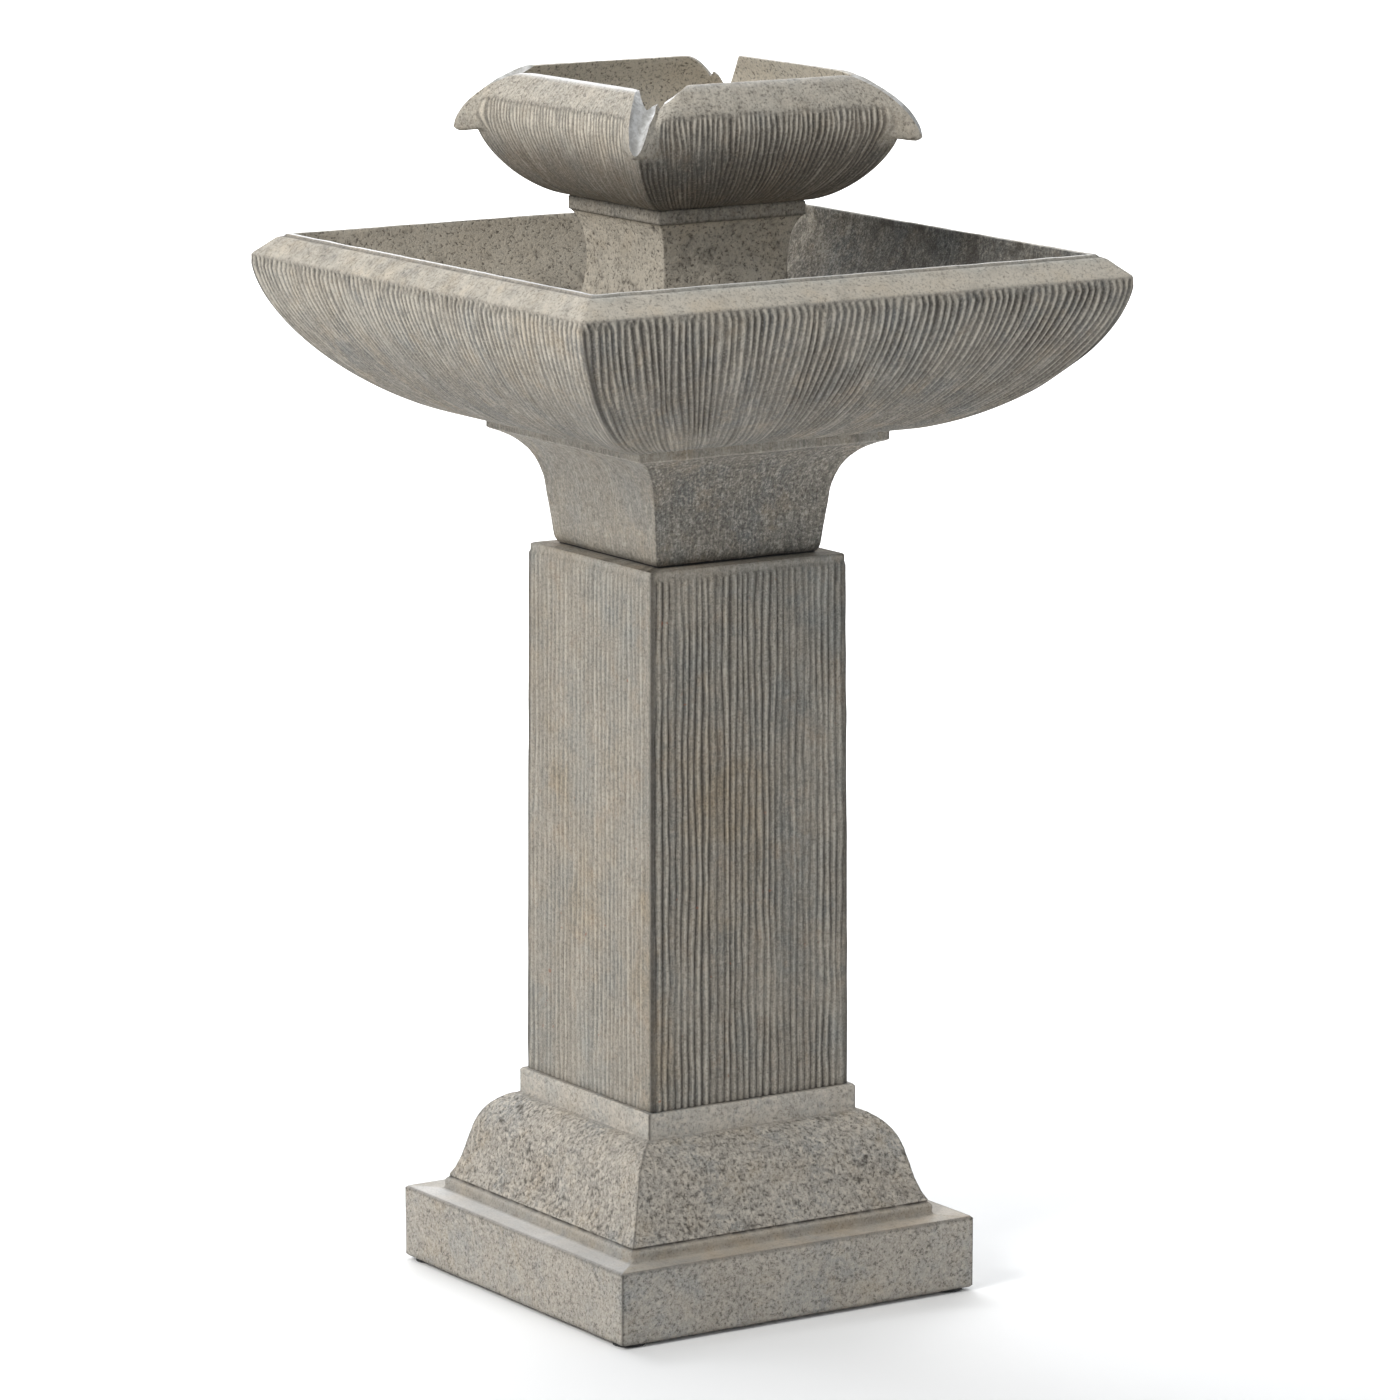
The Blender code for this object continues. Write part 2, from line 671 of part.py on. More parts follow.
def build_hose():
    route = smooth_route(hose_route(), 0.006)
    hose = as_mesh(tube_curve("riser_hose", route, 0.0084, None, resolution=4))
    hose.data.materials.append(HOSE_VINYL)
    longer = [route[0] - Vector((0, 0, 0.01)), *route[1:-1], route[-1] + Vector((0, 0, 0.01))]
    cut(hose, as_mesh(tube_curve("hose_bore", longer, HOSE_BORE, None, CUTTERS, 4)))
    for name, x, z in (("hose_clip_lower", OUTLET_X, 0.6655), ("hose_clip_upper", 0.0, 0.7210)):
        ring = [(0.0098, z + 0.005), (0.0098, z), (0.0088, z), (0.0088, z + 0.005)]
        round_turned(name, ring, STAINLESS, 20, place=Matrix.Translation((x, 0, 0)))


# ---------------------------------------------------------------- pump
def build_pump_body():
    low, high = (PUMP_FRONT, -PUMP_HALF_Y, PUMP_UNDER), (PUMP_BACK, PUMP_HALF_Y, PUMP_TOP)
    body = box("pump_body", low, high, PUMP_PLASTIC, bevel=0.0012)
    spigot_low, spigot_high = (OUTLET_X, 0, PUMP_TOP - 0.002), (OUTLET_X, 0, PUMP_TOP + 0.015)
    join(body, cylinder("outlet_spigot", BARB_RADIUS, spigot_low, spigot_high, None, CUTTERS))
    outside = PUMP_FRONT - PAST
    # the impeller's chamber, the magnet's well, the rear bush's seat and the way out
    hole(body, 0.0128, (outside, 0, ROTOR_Z), (-0.0105, 0, ROTOR_Z), "X", 24)
    hole(body, 0.0080, (outside, 0, ROTOR_Z), (0.0115, 0, ROTOR_Z), "X", 20)
    hole(body, 0.0034, (outside, 0, ROTOR_Z), (0.0140, 0, ROTOR_Z), "X", 12)
    hole(body, 0.0034, (OUTLET_X, 0, ROTOR_Z), (OUTLET_X, 0, PUMP_TOP + 0.03), segments=16)
    groove = [(0.0152, 0.0014), (0.0152, -PAST), (0.0136, -PAST), (0.0136, 0.0014)]
    place = along_x(PUMP_FRONT, 0, ROTOR_Z)
    cut(body, round_turned("o_ring_groove", groove, None, 24, place=place, collection=CUTTERS))
    core_low, core_high = PUMP_UNDER + 0.0022, PUMP_UNDER + 0.0092
    pocket(body, (-0.0064, -0.0124, core_low), (PUMP_BACK + PAST, 0.0124, core_high))
    hole(body, 0.0024, (0.0180, 0, LEAD_EXIT_Z), (PUMP_BACK + PAST, 0, LEAD_EXIT_Z), "X", 12)


def build_pump_covers():
    back = PUMP_FRONT - GAP
    low, high = (back - COVER_THICK, -PUMP_HALF_Y, PUMP_UNDER), (back, PUMP_HALF_Y, PUMP_TOP)
    cover = box("pump_front_cover", low, high, PUMP_PLASTIC)
    eye, spread = 0.0026, 0.0062
    for turn in range(3):
        angle = math.tau * (turn + 0.25) / 3
        y, z = spread * math.cos(angle), ROTOR_Z + spread * math.sin(angle)
        hole(cover, eye, (back - PAST, y, z), (back + PAST, y, z), "X", 12)
    hole(cover, eye, (back - 0.0018, 0, ROTOR_Z), (back + PAST, 0, ROTOR_Z), "X", 12)
    rear = PUMP_BACK + GAP
    low, high = (rear, -PUMP_HALF_Y, PUMP_UNDER), (rear + 0.0024, PUMP_HALF_Y, PUMP_TOP)
    plate = box("pump_rear_cover", low, high, PUMP_PLASTIC)
    hole(plate, 0.0024, (rear - PAST, 0, LEAD_EXIT_Z), (rear + PAST, 0, LEAD_EXIT_Z), "X", 12)


def build_strainer():
    """The slotted intake box over the pump's front, which carries the flow knob."""
    wall = 0.0015
    low, high = (STRAINER_FRONT, -PUMP_HALF_Y, PUMP_UNDER), (STRAINER_BACK, PUMP_HALF_Y, PUMP_TOP)
    shell = box("intake_strainer", low, high, PUMP_PLASTIC)
    half = PUMP_HALF_Y - wall
    low = (STRAINER_FRONT + wall, -half, PUMP_UNDER + wall)
    pocket(shell, low, (STRAINER_BACK + PAST, half, PUMP_TOP - wall))
    outside, inside = STRAINER_FRONT - PAST, STRAINER_FRONT + 0.005
    for row in range(4):
        z = PUMP_UNDER + 0.0175 + 0.0042 * row
        pocket(shell, (outside, -0.013, z), (inside, 0.013, z + 0.0020))
    hole(shell, 0.0018, (outside, 0, KNOB_Z), (inside, 0, KNOB_Z), "X", 12)


def build_flow_knob():
    """A knob turned a quarter turn to choke the intake; its own Z axis is the joint's axis."""
    face = STRAINER_FRONT - GAP
    profile = [(0.0, 0.0048), (0.0014, 0.0048), (0.0014, 0.0), (0.0070, 0.0), (0.0070, -0.0022)]
    profile += [(0.0062, -0.0030), (0.0, -0.0030)]
    place = along_x(face, 0, KNOB_Z)
    knob = round_turned("flow_knob", profile, GREY_PLASTIC, 18, closed=False, place=place)
    low, high = (face - 0.0050, -0.0011, KNOB_Z - 0.0055), (face - 0.0020, 0.0011, KNOB_Z + 0.0055)
    join(knob, box("flow_knob_grip", low, high, None, CUTTERS))


def build_rotor():
    """The bladed impeller and its magnet, which turn together on a fixed ceramic shaft."""
    place = along_x(0, 0, ROTOR_Z)
    bore = SHAFT_RADIUS + GAP
    hub = [(bore, -0.0168), (bore, -0.0110), (0.0108, -0.0110), (0.0108, -0.0122)]
    hub += [(0.0042, -0.0122), (0.0042, -0.0168)]
    impeller = round_turned("impeller", hub, GREY_PLASTIC, 20, place=place)
    low, high = (0.0036, -0.0005, -0.0162), (0.0104, 0.0005, -0.0116)
    for turn in range(6):
        blade = box(f"blade_{turn}", low, high, None, CUTTERS)
        shift = blade.matrix_basis.copy()
        blade.matrix_world = place @ Matrix.Rotation(math.tau * turn / 6, 4, "Z") @ shift
        join(impeller, blade)
    magnet = [(0.0065, -0.0106), (bore, -0.0106), (bore, 0.0100), (0.0065, 0.0100)]
    round_turned("rotor_magnet", magnet, FERRITE, 20, place=place)
    front, rear = (-0.0194, 0, ROTOR_Z), (0.0132, 0, ROTOR_Z)
    cylinder("impeller_shaft", SHAFT_RADIUS, front, rear, CERAMIC, axis="X", segments=12)
    for name, radius, low, high in (
        ("shaft_bush_front", 0.0022, -0.0198, -0.0174),
        ("shaft_bush_rear", 0.0030, 0.0112, 0.0136),
    ):
        bush = [(radius, low), (bore, low), (bore, high), (radius, high)]
        round_turned(name, bush, RUBBER, 12, place=place)


def build_pump_inside():
    place = along_x(PUMP_FRONT + 0.0006, 0, ROTOR_Z)
    angles = [-math.tau * i / 6 for i in range(6)]
    section = [(0.0144 + 0.0006 * math.cos(a), 0.0006 * math.sin(a)) for a in angles]
    round_turned("pump_o_ring", section, RUBBER, 20, place=place)
    low, high = PUMP_UNDER + 0.0022 + GAP, PUMP_UNDER + 0.0092 - GAP
    box("stator_core", (-0.0060, -0.0120, low), (PUMP_BACK - 0.0016, 0.0120, high), LAMINATION)
    floor = TRAY_TOP + GAP
    roof = PUMP_UNDER - GAP
    cup = [(0.0, roof), (0.0028, roof), (0.0034, floor + 0.0018), (0.0072, floor), (0.0, floor)]
    middle = 0.003  # the pump's middle lies this far behind the stem's axis
    for number, (x, y) in enumerate(corners(1.0), 1):
        place = Matrix.Translation((middle + 0.015 * x, 0.011 * y, 0))
        round_turned(f"suction_cup_{number}", cup, RUBBER, 16, closed=False, place=place)


# ---------------------------------------------------------------- solar panel and battery
def build_panel():
    """The panel housing stands over the bulkhead flange; a clear window closes it."""
    low, high = (-PANEL_HALF, -PANEL_HALF, PANEL_UNDER), (PANEL_HALF, PANEL_HALF, PANEL_TOP)
    housing = box("solar_panel_housing", low, high, GREY_PLASTIC)
    below, above = PANEL_UNDER - PAST, PANEL_TOP + PAST
    pocket(housing, (-CELL_SIDE, CELL_FRONT, PANEL_FLOOR), (CELL_SIDE, CELL_BACK, above))
    seal_low, ledge = PANEL_TOP - 0.0008, 0.0026
    low = (-CELL_SIDE - ledge, CELL_FRONT - ledge, seal_low - GAP)
    pocket(housing, low, (CELL_SIDE + ledge, CELL_BACK + ledge, above))
    boss_low, boss_high = (0, 0, PANEL_FLOOR - 0.001), (0, 0, WINDOW_TOP)
    join(housing, cylinder("nozzle_boss", 0.0115, boss_low, boss_high, None, CUTTERS))
    hole(housing, 0.0176, (0, 0, below), (0, 0, PANEL_UNDER + 0.0048), segments=24)
    hole(housing, 0.0090, (0, 0, below), (0, 0, WINDOW_TOP + PAST), segments=20)
    hole(housing, LEAD_RADIUS + GAP, (LEAD_X, 0, below), (LEAD_X, 0, PANEL_FLOOR + PAST), segments=12)
    hole(housing, BUTTON_WELL_RADIUS, (0, BUTTON_Y, PANEL_FLOOR), (0, BUTTON_Y, above), segments=20)
    for x, y in corners(PANEL_SCREW_PLACE):
        hole(housing, 0.0014, (x, y, PANEL_TOP - 0.0070), (x, y, above), segments=10)
    build_cells()
    build_panel_seal(seal_low, ledge)
    build_window()


def build_cells():
    rest, thick, fit = 0.0022, 0.0020, 0.0004
    low = (-CELL_SIDE + fit, CELL_FRONT + fit, PANEL_FLOOR + rest)
    high = (CELL_SIDE - fit, CELL_BACK - fit, PANEL_FLOOR + rest + thick)
    plate = box("solar_cell_plate", low, high, SILICON)
    hole(plate, 0.0119, (0, 0, PANEL_FLOOR - PAST), (0, 0, PANEL_FLOOR + 2 * PAST), segments=20)


def build_panel_seal(low, ledge):
    reach = ledge - GAP
    outer_low = (-CELL_SIDE - reach, CELL_FRONT - reach, low)
    outer_high = (CELL_SIDE + reach, CELL_BACK + reach, PANEL_TOP)
    seal = box("panel_seal", outer_low, outer_high, RUBBER)
    pocket(seal, (-CELL_SIDE, CELL_FRONT, low - PAST), (CELL_SIDE, CELL_BACK, PANEL_TOP + PAST))


def build_window():
    low, high = (-PANEL_HALF, -PANEL_HALF, PANEL_TOP + GAP), (PANEL_HALF, PANEL_HALF, WINDOW_TOP)
    window = box("panel_window", low, high, CLEAR)
    below, above = PANEL_TOP - PAST, WINDOW_TOP + PAST
    hole(window, 0.0119, (0, 0, below), (0, 0, above), segments=20)
    hole(window, BUTTON_WELL_RADIUS, (0, BUTTON_Y, below), (0, BUTTON_Y, above), segments=20)
    for number, (x, y) in enumerate(corners(PANEL_SCREW_PLACE), 1):
        hole(window, 0.0015, (x, y, below), (x, y, above), segments=10)
        screw_down(f"panel_screw_{number}", x, y, WINDOW_TOP + GAP, PANEL_FLOOR)


def build_button():
    """A sealed push button beside the cells; it travels down into its well."""
    low = PANEL_TOP - 0.0040
    high = WINDOW_TOP + 0.0020
    profile = [(0.0, high), (0.0036, high), (0.0045, high - 0.0007), (0.0045, low), (0.0, low)]
    place = Matrix.Translation((0, BUTTON_Y, 0))
    round_turned("power_button", profile, RUBBER, 18, closed=False, place=place)


def build_battery():
    low = (BATTERY_NEAR, -BATTERY_HALF_Y, BATTERY_UNDER)
    case = box("battery_box", low, (BATTERY_FAR, BATTERY_HALF_Y, BATTERY_TOP), GREY_PLASTIC)
    inner = BATTERY_HALF_Y - BATTERY_WALL
    low = (BATTERY_NEAR + BATTERY_WALL, -inner, BATTERY_UNDER + BATTERY_WALL)
    pocket(case, low, (BATTERY_FAR + PAST, inner, BATTERY_TOP - BATTERY_WALL))
    for x, z in ((LEAD_X, BATTERY_TOP), (PUMP_LEAD_X, BATTERY_UNDER)):
        hole(case, LEAD_RADIUS + GAP, (x, 0, z - PAST), (x, 0, z + PAST), segments=12)
    low = (BATTERY_FAR + GAP, -BATTERY_HALF_Y, BATTERY_UNDER)
    high = (BATTERY_FAR + GAP + 0.0020, BATTERY_HALF_Y, BATTERY_TOP)
    box("battery_lid", low, high, GREY_PLASTIC)
    base, top = BATTERY_UNDER + 0.0021, BATTERY_TOP - 0.0022
    cell = [(0.0, top), (0.0028, top), (0.0028, top - 0.0012), (CELL_RADIUS, top - 0.0012)]
    cell += [(CELL_RADIUS, base), (0.0, base)]
    for number in range(3):
        place = Matrix.Translation((0.0216, (number - 1) * CELL_PITCH, 0))
        name = f"battery_cell_{number + 1}"
        round_turned(name, cell, CELL_WRAP, 16, closed=False, place=place)


def build_leads():
    """The two low-voltage leads, and the grommet where one passes the bowl's floor."""
    upper = [
        (LEAD_X, 0, PANEL_TOP - 0.0045),
        (LEAD_X, 0, 0.7580),
        (LEAD_X, 0, BATTERY_TOP - 0.0010),
    ]
    tube_curve("panel_lead", smooth_route(upper, 0.012), LEAD_RADIUS, LEAD_JACKET)
    lower = [
        (0.0185, 0, LEAD_EXIT_Z),
        (0.0270, 0, LEAD_EXIT_Z),
        (PUMP_LEAD_X, 0, LEAD_EXIT_Z + 0.0035),
        (0.0325, 0, LEAD_EXIT_Z + 0.010),
        (0.0314, 0, 0.6730),
        (PUMP_LEAD_X, 0, BATTERY_UNDER + 0.0010),
    ]
    tube_curve("pump_lead", smooth_route(lower, 0.0035), LEAD_RADIUS, LEAD_JACKET)
    bore = LEAD_RADIUS + GAP
    low, high = BOWL_BOTTOM + GAP, BOWL_FLOOR
    ring = [(0.0050, high), (0.0050, low), (bore, low), (bore, high)]
    place = Matrix.Translation((LEAD_X, 0, 0))
    round_turned("lead_grommet", ring, RUBBER, 12, place=place)


def main():
    build_base()
    build_column()
    build_column_bolts()
    build_basin()
    build_gasket()
    build_stem()
    build_intake_tray()
    build_top_bowl()
    build_bulkhead()
    build_nozzle_cap()
    build_hose()
    build_pump_body()
    build_pump_covers()
    build_strainer()
    build_flow_knob()
    build_rotor()
    build_pump_inside()
    build_panel()
    build_button()
    build_battery()
    build_leads()


main()
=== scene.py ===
"""Looks for the two-tier bird bath: combed and hammered castings, spouts and painted finish.

Each casting is a square sweep: rows of a profile, each row a square with rounded corners, pushed in and
out along its own normal by the combed ridges and the hammered pits. Masks on its points say where it is
washed dark, where the pale paint was brushed on, and where shade and highlights are painted into the colour.
The pump, panel and small parts are the CAD nodes with procedural materials.
"""

import json
import math
from collections import namedtuple
from itertools import product

import bmesh
import bpy
import numpy as np
from mathutils import Matrix, Vector, kdtree


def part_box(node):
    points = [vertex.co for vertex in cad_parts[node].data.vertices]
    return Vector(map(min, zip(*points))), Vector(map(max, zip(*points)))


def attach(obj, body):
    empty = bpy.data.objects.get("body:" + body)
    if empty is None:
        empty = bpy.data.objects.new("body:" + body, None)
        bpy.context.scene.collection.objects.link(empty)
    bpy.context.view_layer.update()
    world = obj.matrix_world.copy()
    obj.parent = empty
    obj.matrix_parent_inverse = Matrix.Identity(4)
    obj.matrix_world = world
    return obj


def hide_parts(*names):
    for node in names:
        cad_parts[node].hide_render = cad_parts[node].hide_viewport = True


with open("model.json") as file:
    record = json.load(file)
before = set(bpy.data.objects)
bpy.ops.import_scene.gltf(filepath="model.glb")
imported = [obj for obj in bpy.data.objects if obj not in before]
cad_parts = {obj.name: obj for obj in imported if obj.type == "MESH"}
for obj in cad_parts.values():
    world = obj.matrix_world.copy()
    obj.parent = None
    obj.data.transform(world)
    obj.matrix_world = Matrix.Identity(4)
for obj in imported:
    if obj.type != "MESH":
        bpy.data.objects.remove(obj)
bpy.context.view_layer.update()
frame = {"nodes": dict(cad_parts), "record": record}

MM = 0.001
CENTRE_HALF = 0.006  # half width of the innermost row where a casting closes on its axis
BULKHEAD_HOLE = 0.0104


def low(node):
    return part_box(node)[0]


def high(node):
    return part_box(node)[1]


def middle_of(node):
    """The plan centre of a CAD node's box."""
    return (low(node).x + high(node).x) / 2, (low(node).y + high(node).y) / 2


# ---- sizes read from the frame
PLINTH_HALF = high("base_casting").x
PLINTH_FOOT = low("base_casting").z
COLLAR_TOP = high("base_casting").z
COLUMN_HALF = high("column_casting").x
COLUMN_FOOT = low("column_casting").z
COLUMN_TOP = high("column_casting").z
BASIN_HALF = high("basin_casting").x
BASIN_RIM = high("basin_casting").z
BASIN_FOOT = low("basin_casting").z
STEM_TOP = high("stem_casting").z
STEM_FOOT = low("stem_casting").z
BOWL_TOP = high("top_bowl").z
BOWL_FOOT = low("top_bowl").z


# ---- repeatable noise
def lattice(cell, seed):
    """A repeatable number from 0 to 1 for each whole-number point."""
    x, y, z = (cell[..., i].astype(np.uint32) for i in range(3))
    mixed = x * np.uint32(73856093) ^ y * np.uint32(19349663) ^ z * np.uint32(83492791)
    mixed = mixed ^ np.uint32(seed * 2654435 + 101)
    mixed = (mixed ^ (mixed >> np.uint32(15))) * np.uint32(2246822519)
    mixed = (mixed ^ (mixed >> np.uint32(13))) * np.uint32(3266489917)
    return (mixed ^ (mixed >> np.uint32(16))).astype(np.float64) / 4294967295.0


def noise(points, size, seed):
    """Smooth noise from -1 to 1 with cells of that size: one number, or one for each axis."""
    scaled = points / np.asarray(size, float)
    cell = np.floor(scaled).astype(np.int64)
    part = scaled - cell
    part = part * part * (3 - 2 * part)
    total = np.zeros(points.shape[:-1])
    for corner in product((0, 1), repeat=3):
        weight = np.ones(points.shape[:-1])
        for axis in range(3):
            share = part[..., axis]
            weight = weight * (share if corner[axis] else 1 - share)
        total += weight * lattice(cell + np.array(corner), seed)
    return total * 2 - 1


def smooth(value, start, end):
    """0 before start, 1 after end, and a smooth step between them."""
    share = np.clip((value - start) / (end - start), 0, 1)
    return share * share * (3 - 2 * share)


# ---- square sweeps
def resample(points, step):
    """Points about step apart along a polyline, which keeps its own corners."""
    found = [np.array(points[0], float)]
    for a, b in zip(points, points[1:]):
        a, b = np.array(a, float), np.array(b, float)
        pieces = max(1, round(float(np.linalg.norm(b - a)) / step))
        found += [a + (b - a) * (i + 1) / pieces for i in range(pieces)]
    return np.array(found)


def curve(points, step):
    """Points about step apart on a Catmull-Rom curve through the given ones."""
    knots = [np.array(p, float) for p in points]
    ends = [2 * knots[0] - knots[1], *knots, 2 * knots[-1] - knots[-2]]
    found = []
    for a, b, c, d in zip(ends, ends[1:], ends[2:], ends[3:]):
        pieces = max(1, round(float(np.linalg.norm(c - b)) / step))
        for i in range(pieces):
            t = i / pieces
            found.append(0.5 * (2 * b + (c - a) * t + (2 * a - 5 * b + 4 * c - d) * t**2
                                + (3 * b - a - 3 * c + d) * t**3))
    return np.array([*found, knots[-1]])


def bulge(start, end, step, power=1.65):
    """Superellipse quarter from start to end, both (half, z): flat at its foot and upright at its top."""
    angle = np.linspace(0, math.pi / 2, 60)
    half = start[0] + (end[0] - start[0]) * np.sin(angle) ** (2 / power)
    z = start[1] + (end[1] - start[1]) * (1 - np.abs(np.cos(angle)) ** (2 / power))
    dense = np.stack([half, z], 1)
    along = np.concatenate([[0], np.cumsum(np.linalg.norm(np.diff(dense, axis=0), axis=1))])
    wanted = np.linspace(0, along[-1], max(2, round(along[-1] / step) + 1))
    return np.stack([np.interp(wanted, along, dense[:, i]) for i in range(2)], 1)


# A stretch of a casting's profile: its rows, columns a side, surface, corner radius and change of shape.
Zone = namedtuple("Zone", "rows columns surface corner shape", defaults=(0.0016, None))


STRANDS = 60.0  # radius of the ring that the strand noise is read on, in noise cells
STRAND_RUN = 45.0  # noise cells a metre along the strands


class Place:
    """Where the points of a zone lie: arrays of rows by sides by columns."""

    def sides(self, *values):
        """The value of each point's side: the -Y, +X, +Y and -X faces in turn."""
        return np.asarray(values, float)[self.side.astype(int) % 4]


def lay_out(zone):
    """The zone's points before any relief, with the plan direction that each one faces."""
    at = Place()
    profile = np.asarray(zone.rows, float)
    columns = (np.arange(zone.columns) / zone.columns * 2 - 1)[None, None, :]
    rows = len(profile)
    whole = np.ones((rows, 4, zone.columns))
    at.t = columns * whole
    at.side = np.arange(4)[None, :, None] * whole
    at.v = np.linspace(0, 1, rows)[:, None, None] * whole
    at.half = profile[:, 0][:, None, None] * whole
    at.z = profile[:, 1][:, None, None] * whole
    at.corner = np.minimum(zone.corner, at.half * 0.4)
    if zone.shape:
        zone.shape(at)
    flat = at.half - at.corner
    reach = flat + at.corner * math.pi / 4
    along = at.t * reach
    turn = np.clip((np.abs(along) - flat) / at.corner, 0, math.pi / 4)
    bent = turn > 0
    x = np.where(bent, np.sign(along) * (flat + at.corner * np.sin(turn)), along)
    y = -(flat + at.corner * np.cos(turn))
    face_x, face_y = np.sign(along) * np.sin(turn), -np.cos(turn)
    quarter = at.side * math.pi / 2
    cos, sin = np.round(np.cos(quarter)), np.round(np.sin(quarter))
    at.along = along
    at.from_left = along + reach
    at.from_right = reach - along
    at.from_corner = np.minimum(at.from_left, at.from_right)
    at.p = np.stack([x * cos - y * sin, x * sin + y * cos, at.z], -1)
    at.facing = np.stack([face_x * cos - face_y * sin, face_x * sin + face_y * cos], -1)
    return at


def profile_normals(rows):
    """Outward (half, z) direction at each row of a profile that runs with its outside on the left."""
    ahead = np.diff(rows, axis=0)
    ahead = ahead / np.maximum(np.linalg.norm(ahead, axis=1), 1e-9)[:, None]
    mean = np.concatenate([ahead[:1], ahead[:-1] + ahead[1:], ahead[-1:]])
    mean = mean / np.maximum(np.linalg.norm(mean, axis=1), 1e-9)[:, None]
    return np.stack([-mean[:, 1], mean[:, 0]], 1)


MASKS = ("relief", "pale", "wash_and_painted_shade", "hammer", "gloss_and_painted_highlight", "tint")


def sweep(zones):
    """Points, masks and faces of a closed casting: its zones in order, each row stitched to the next."""
    points, rings, faces = [], [], []
    masks = {name: [] for name in (*MASKS, "strand")}
    total = 0
    for number, zone in enumerate(zones):
        at = lay_out(zone)
        paint = {"relief": 0.5, "pale": 0.0, "wash_and_painted_shade": 0.0, "hammer": 0.0, "gloss_and_painted_highlight": 0.0, "tint": 0.0}
        lift, found = zone.surface(at)
        paint.update(found)
        across = profile_normals(np.asarray(zone.rows, float))[:, None, None, :]
        placed = at.p.copy()
        placed[..., :2] += at.facing * (lift * across[..., 0])[..., None]
        placed[..., 2] += lift * across[..., 1]
        angle = (at.side + (at.t + 1) / 2) * math.pi / 2
        strand = np.stack([STRANDS * np.cos(angle), STRANDS * np.sin(angle), at.z * STRAND_RUN], -1)
        start = 1 if number else 0  # the first row of a later zone repeats the row before it
        for row in range(start, len(zone.rows)):
            points.append(placed[row].reshape(-1, 3))
            rings.append((total, 4 * zone.columns))
            total += 4 * zone.columns
            for name in MASKS:
                masks[name].append(np.broadcast_to(paint[name], at.t.shape)[row].reshape(-1))
            masks["strand"].append(strand[row].reshape(-1, 3))
    for (a, count_a), (b, count_b) in zip(rings, rings[1:]):
        stitch(faces, a, count_a, b, count_b)
    return np.concatenate(points), {n: np.concatenate(m) for n, m in masks.items()}, faces, rings


def stitch(faces, a, count_a, b, count_b):
    """Joins two rings: with quads where they match, and with a strip of triangles where they don't."""
    if count_a == count_b:
        faces += [
            (a + i, a + (i + 1) % count_a, b + (i + 1) % count_a, b + i) for i in range(count_a)
        ]
        return
    i = j = 0
    while i < count_a or j < count_b:
        if j == count_b or (i < count_a and (i + 1) * count_b <= (j + 1) * count_a):
            faces.append((a + i % count_a, a + (i + 1) % count_a, b + j % count_b))
            i += 1
        else:
            faces.append((a + i % count_a, b + (j + 1) % count_b, b + j % count_b))
            j += 1


def close_end(points, masks, faces, ring, z):
    """Fills a ring with a fan to a point on the axis."""
    first, count = ring
    faces.extend((first + i, first + (i + 1) % count, len(points)) for i in range(count))
    for name in masks:
        masks[name] = np.concatenate([masks[name], masks[name][first:first + 1]])
    return np.concatenate([points, [[0.0, 0.0, z]]])


def casting(name, zones, body, look, capped, cutters=(), extra_look=None):
    """Builds a casting, cuts its holes, and makes it stand for the CAD node of the same name."""
    points, masks, faces, rings = sweep(zones)
    if capped:
        points = close_end(points, masks, faces, rings[0], zones[0].rows[0][1])
        points = close_end(points, masks, faces, rings[-1], zones[-1].rows[-1][1])
    else:
        stitch(faces, *rings[-1], *rings[0])
    mesh = bpy.data.meshes.new(name)
    mesh.from_pydata(points.tolist(), [], faces)
    turn_outwards(mesh)
    obj = bpy.data.objects.new(f"{name}_finish", mesh)
    bpy.context.scene.collection.objects.link(obj)
    for material in filter(None, (look, extra_look)):
        mesh.materials.append(material)
    for cutter in cutters:
        step = obj.modifiers.new(cutter.name, "BOOLEAN")
        step.operation = "DIFFERENCE"
        step.solver = "MANIFOLD"
        step.object = cutter
    if cutters:
        apply_modifiers(obj)
        for cutter in cutters:
            bpy.data.objects.remove(cutter, do_unlink=True)
        masks = carried_over(points, masks, obj.data)
    for mask, values in masks.items():
        vector = values.ndim == 2
        stored = obj.data.attributes.new(mask, "FLOAT_VECTOR" if vector else "FLOAT", "POINT")
        stored.data.foreach_set("vector" if vector else "value", values.astype(np.float32).ravel())
    obj.data.shade_smooth()
    obj.data.set_sharp_from_angle(angle=math.radians(48))
    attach(obj, body)
    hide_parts(name)
    return obj


def turn_outwards(mesh):
    shape = bmesh.new()
    shape.from_mesh(mesh)
    bmesh.ops.recalc_face_normals(shape, faces=shape.faces)
    shape.to_mesh(mesh)
    shape.free()


def apply_modifiers(obj):
    graph = bpy.context.evaluated_depsgraph_get()
    obj.data = bpy.data.meshes.new_from_object(obj.evaluated_get(graph))
    obj.modifiers.clear()


def carried_over(points, masks, mesh):
    """The masks of the nearest uncut point, for each point of the cut mesh."""
    tree = kdtree.KDTree(len(points))
    for i, p in enumerate(points):
        tree.insert(p, i)
    tree.balance()
    nearest = [tree.find(v.co)[1] for v in mesh.vertices]
    return {name: values[nearest] for name, values in masks.items()}


def cutter_from(name, build, slot=0):
    """A closed cutter; slot is the material slot that its cut faces take."""
    shape = bmesh.new()
    build(shape)
    bmesh.ops.recalc_face_normals(shape, faces=shape.faces)
    for face in shape.faces:
        face.material_index = slot
    mesh = bpy.data.meshes.new(name)
    shape.to_mesh(mesh)
    shape.free()
    obj = bpy.data.objects.new(name, mesh)
    bpy.context.scene.collection.objects.link(obj)
    obj.hide_render = True
    return obj


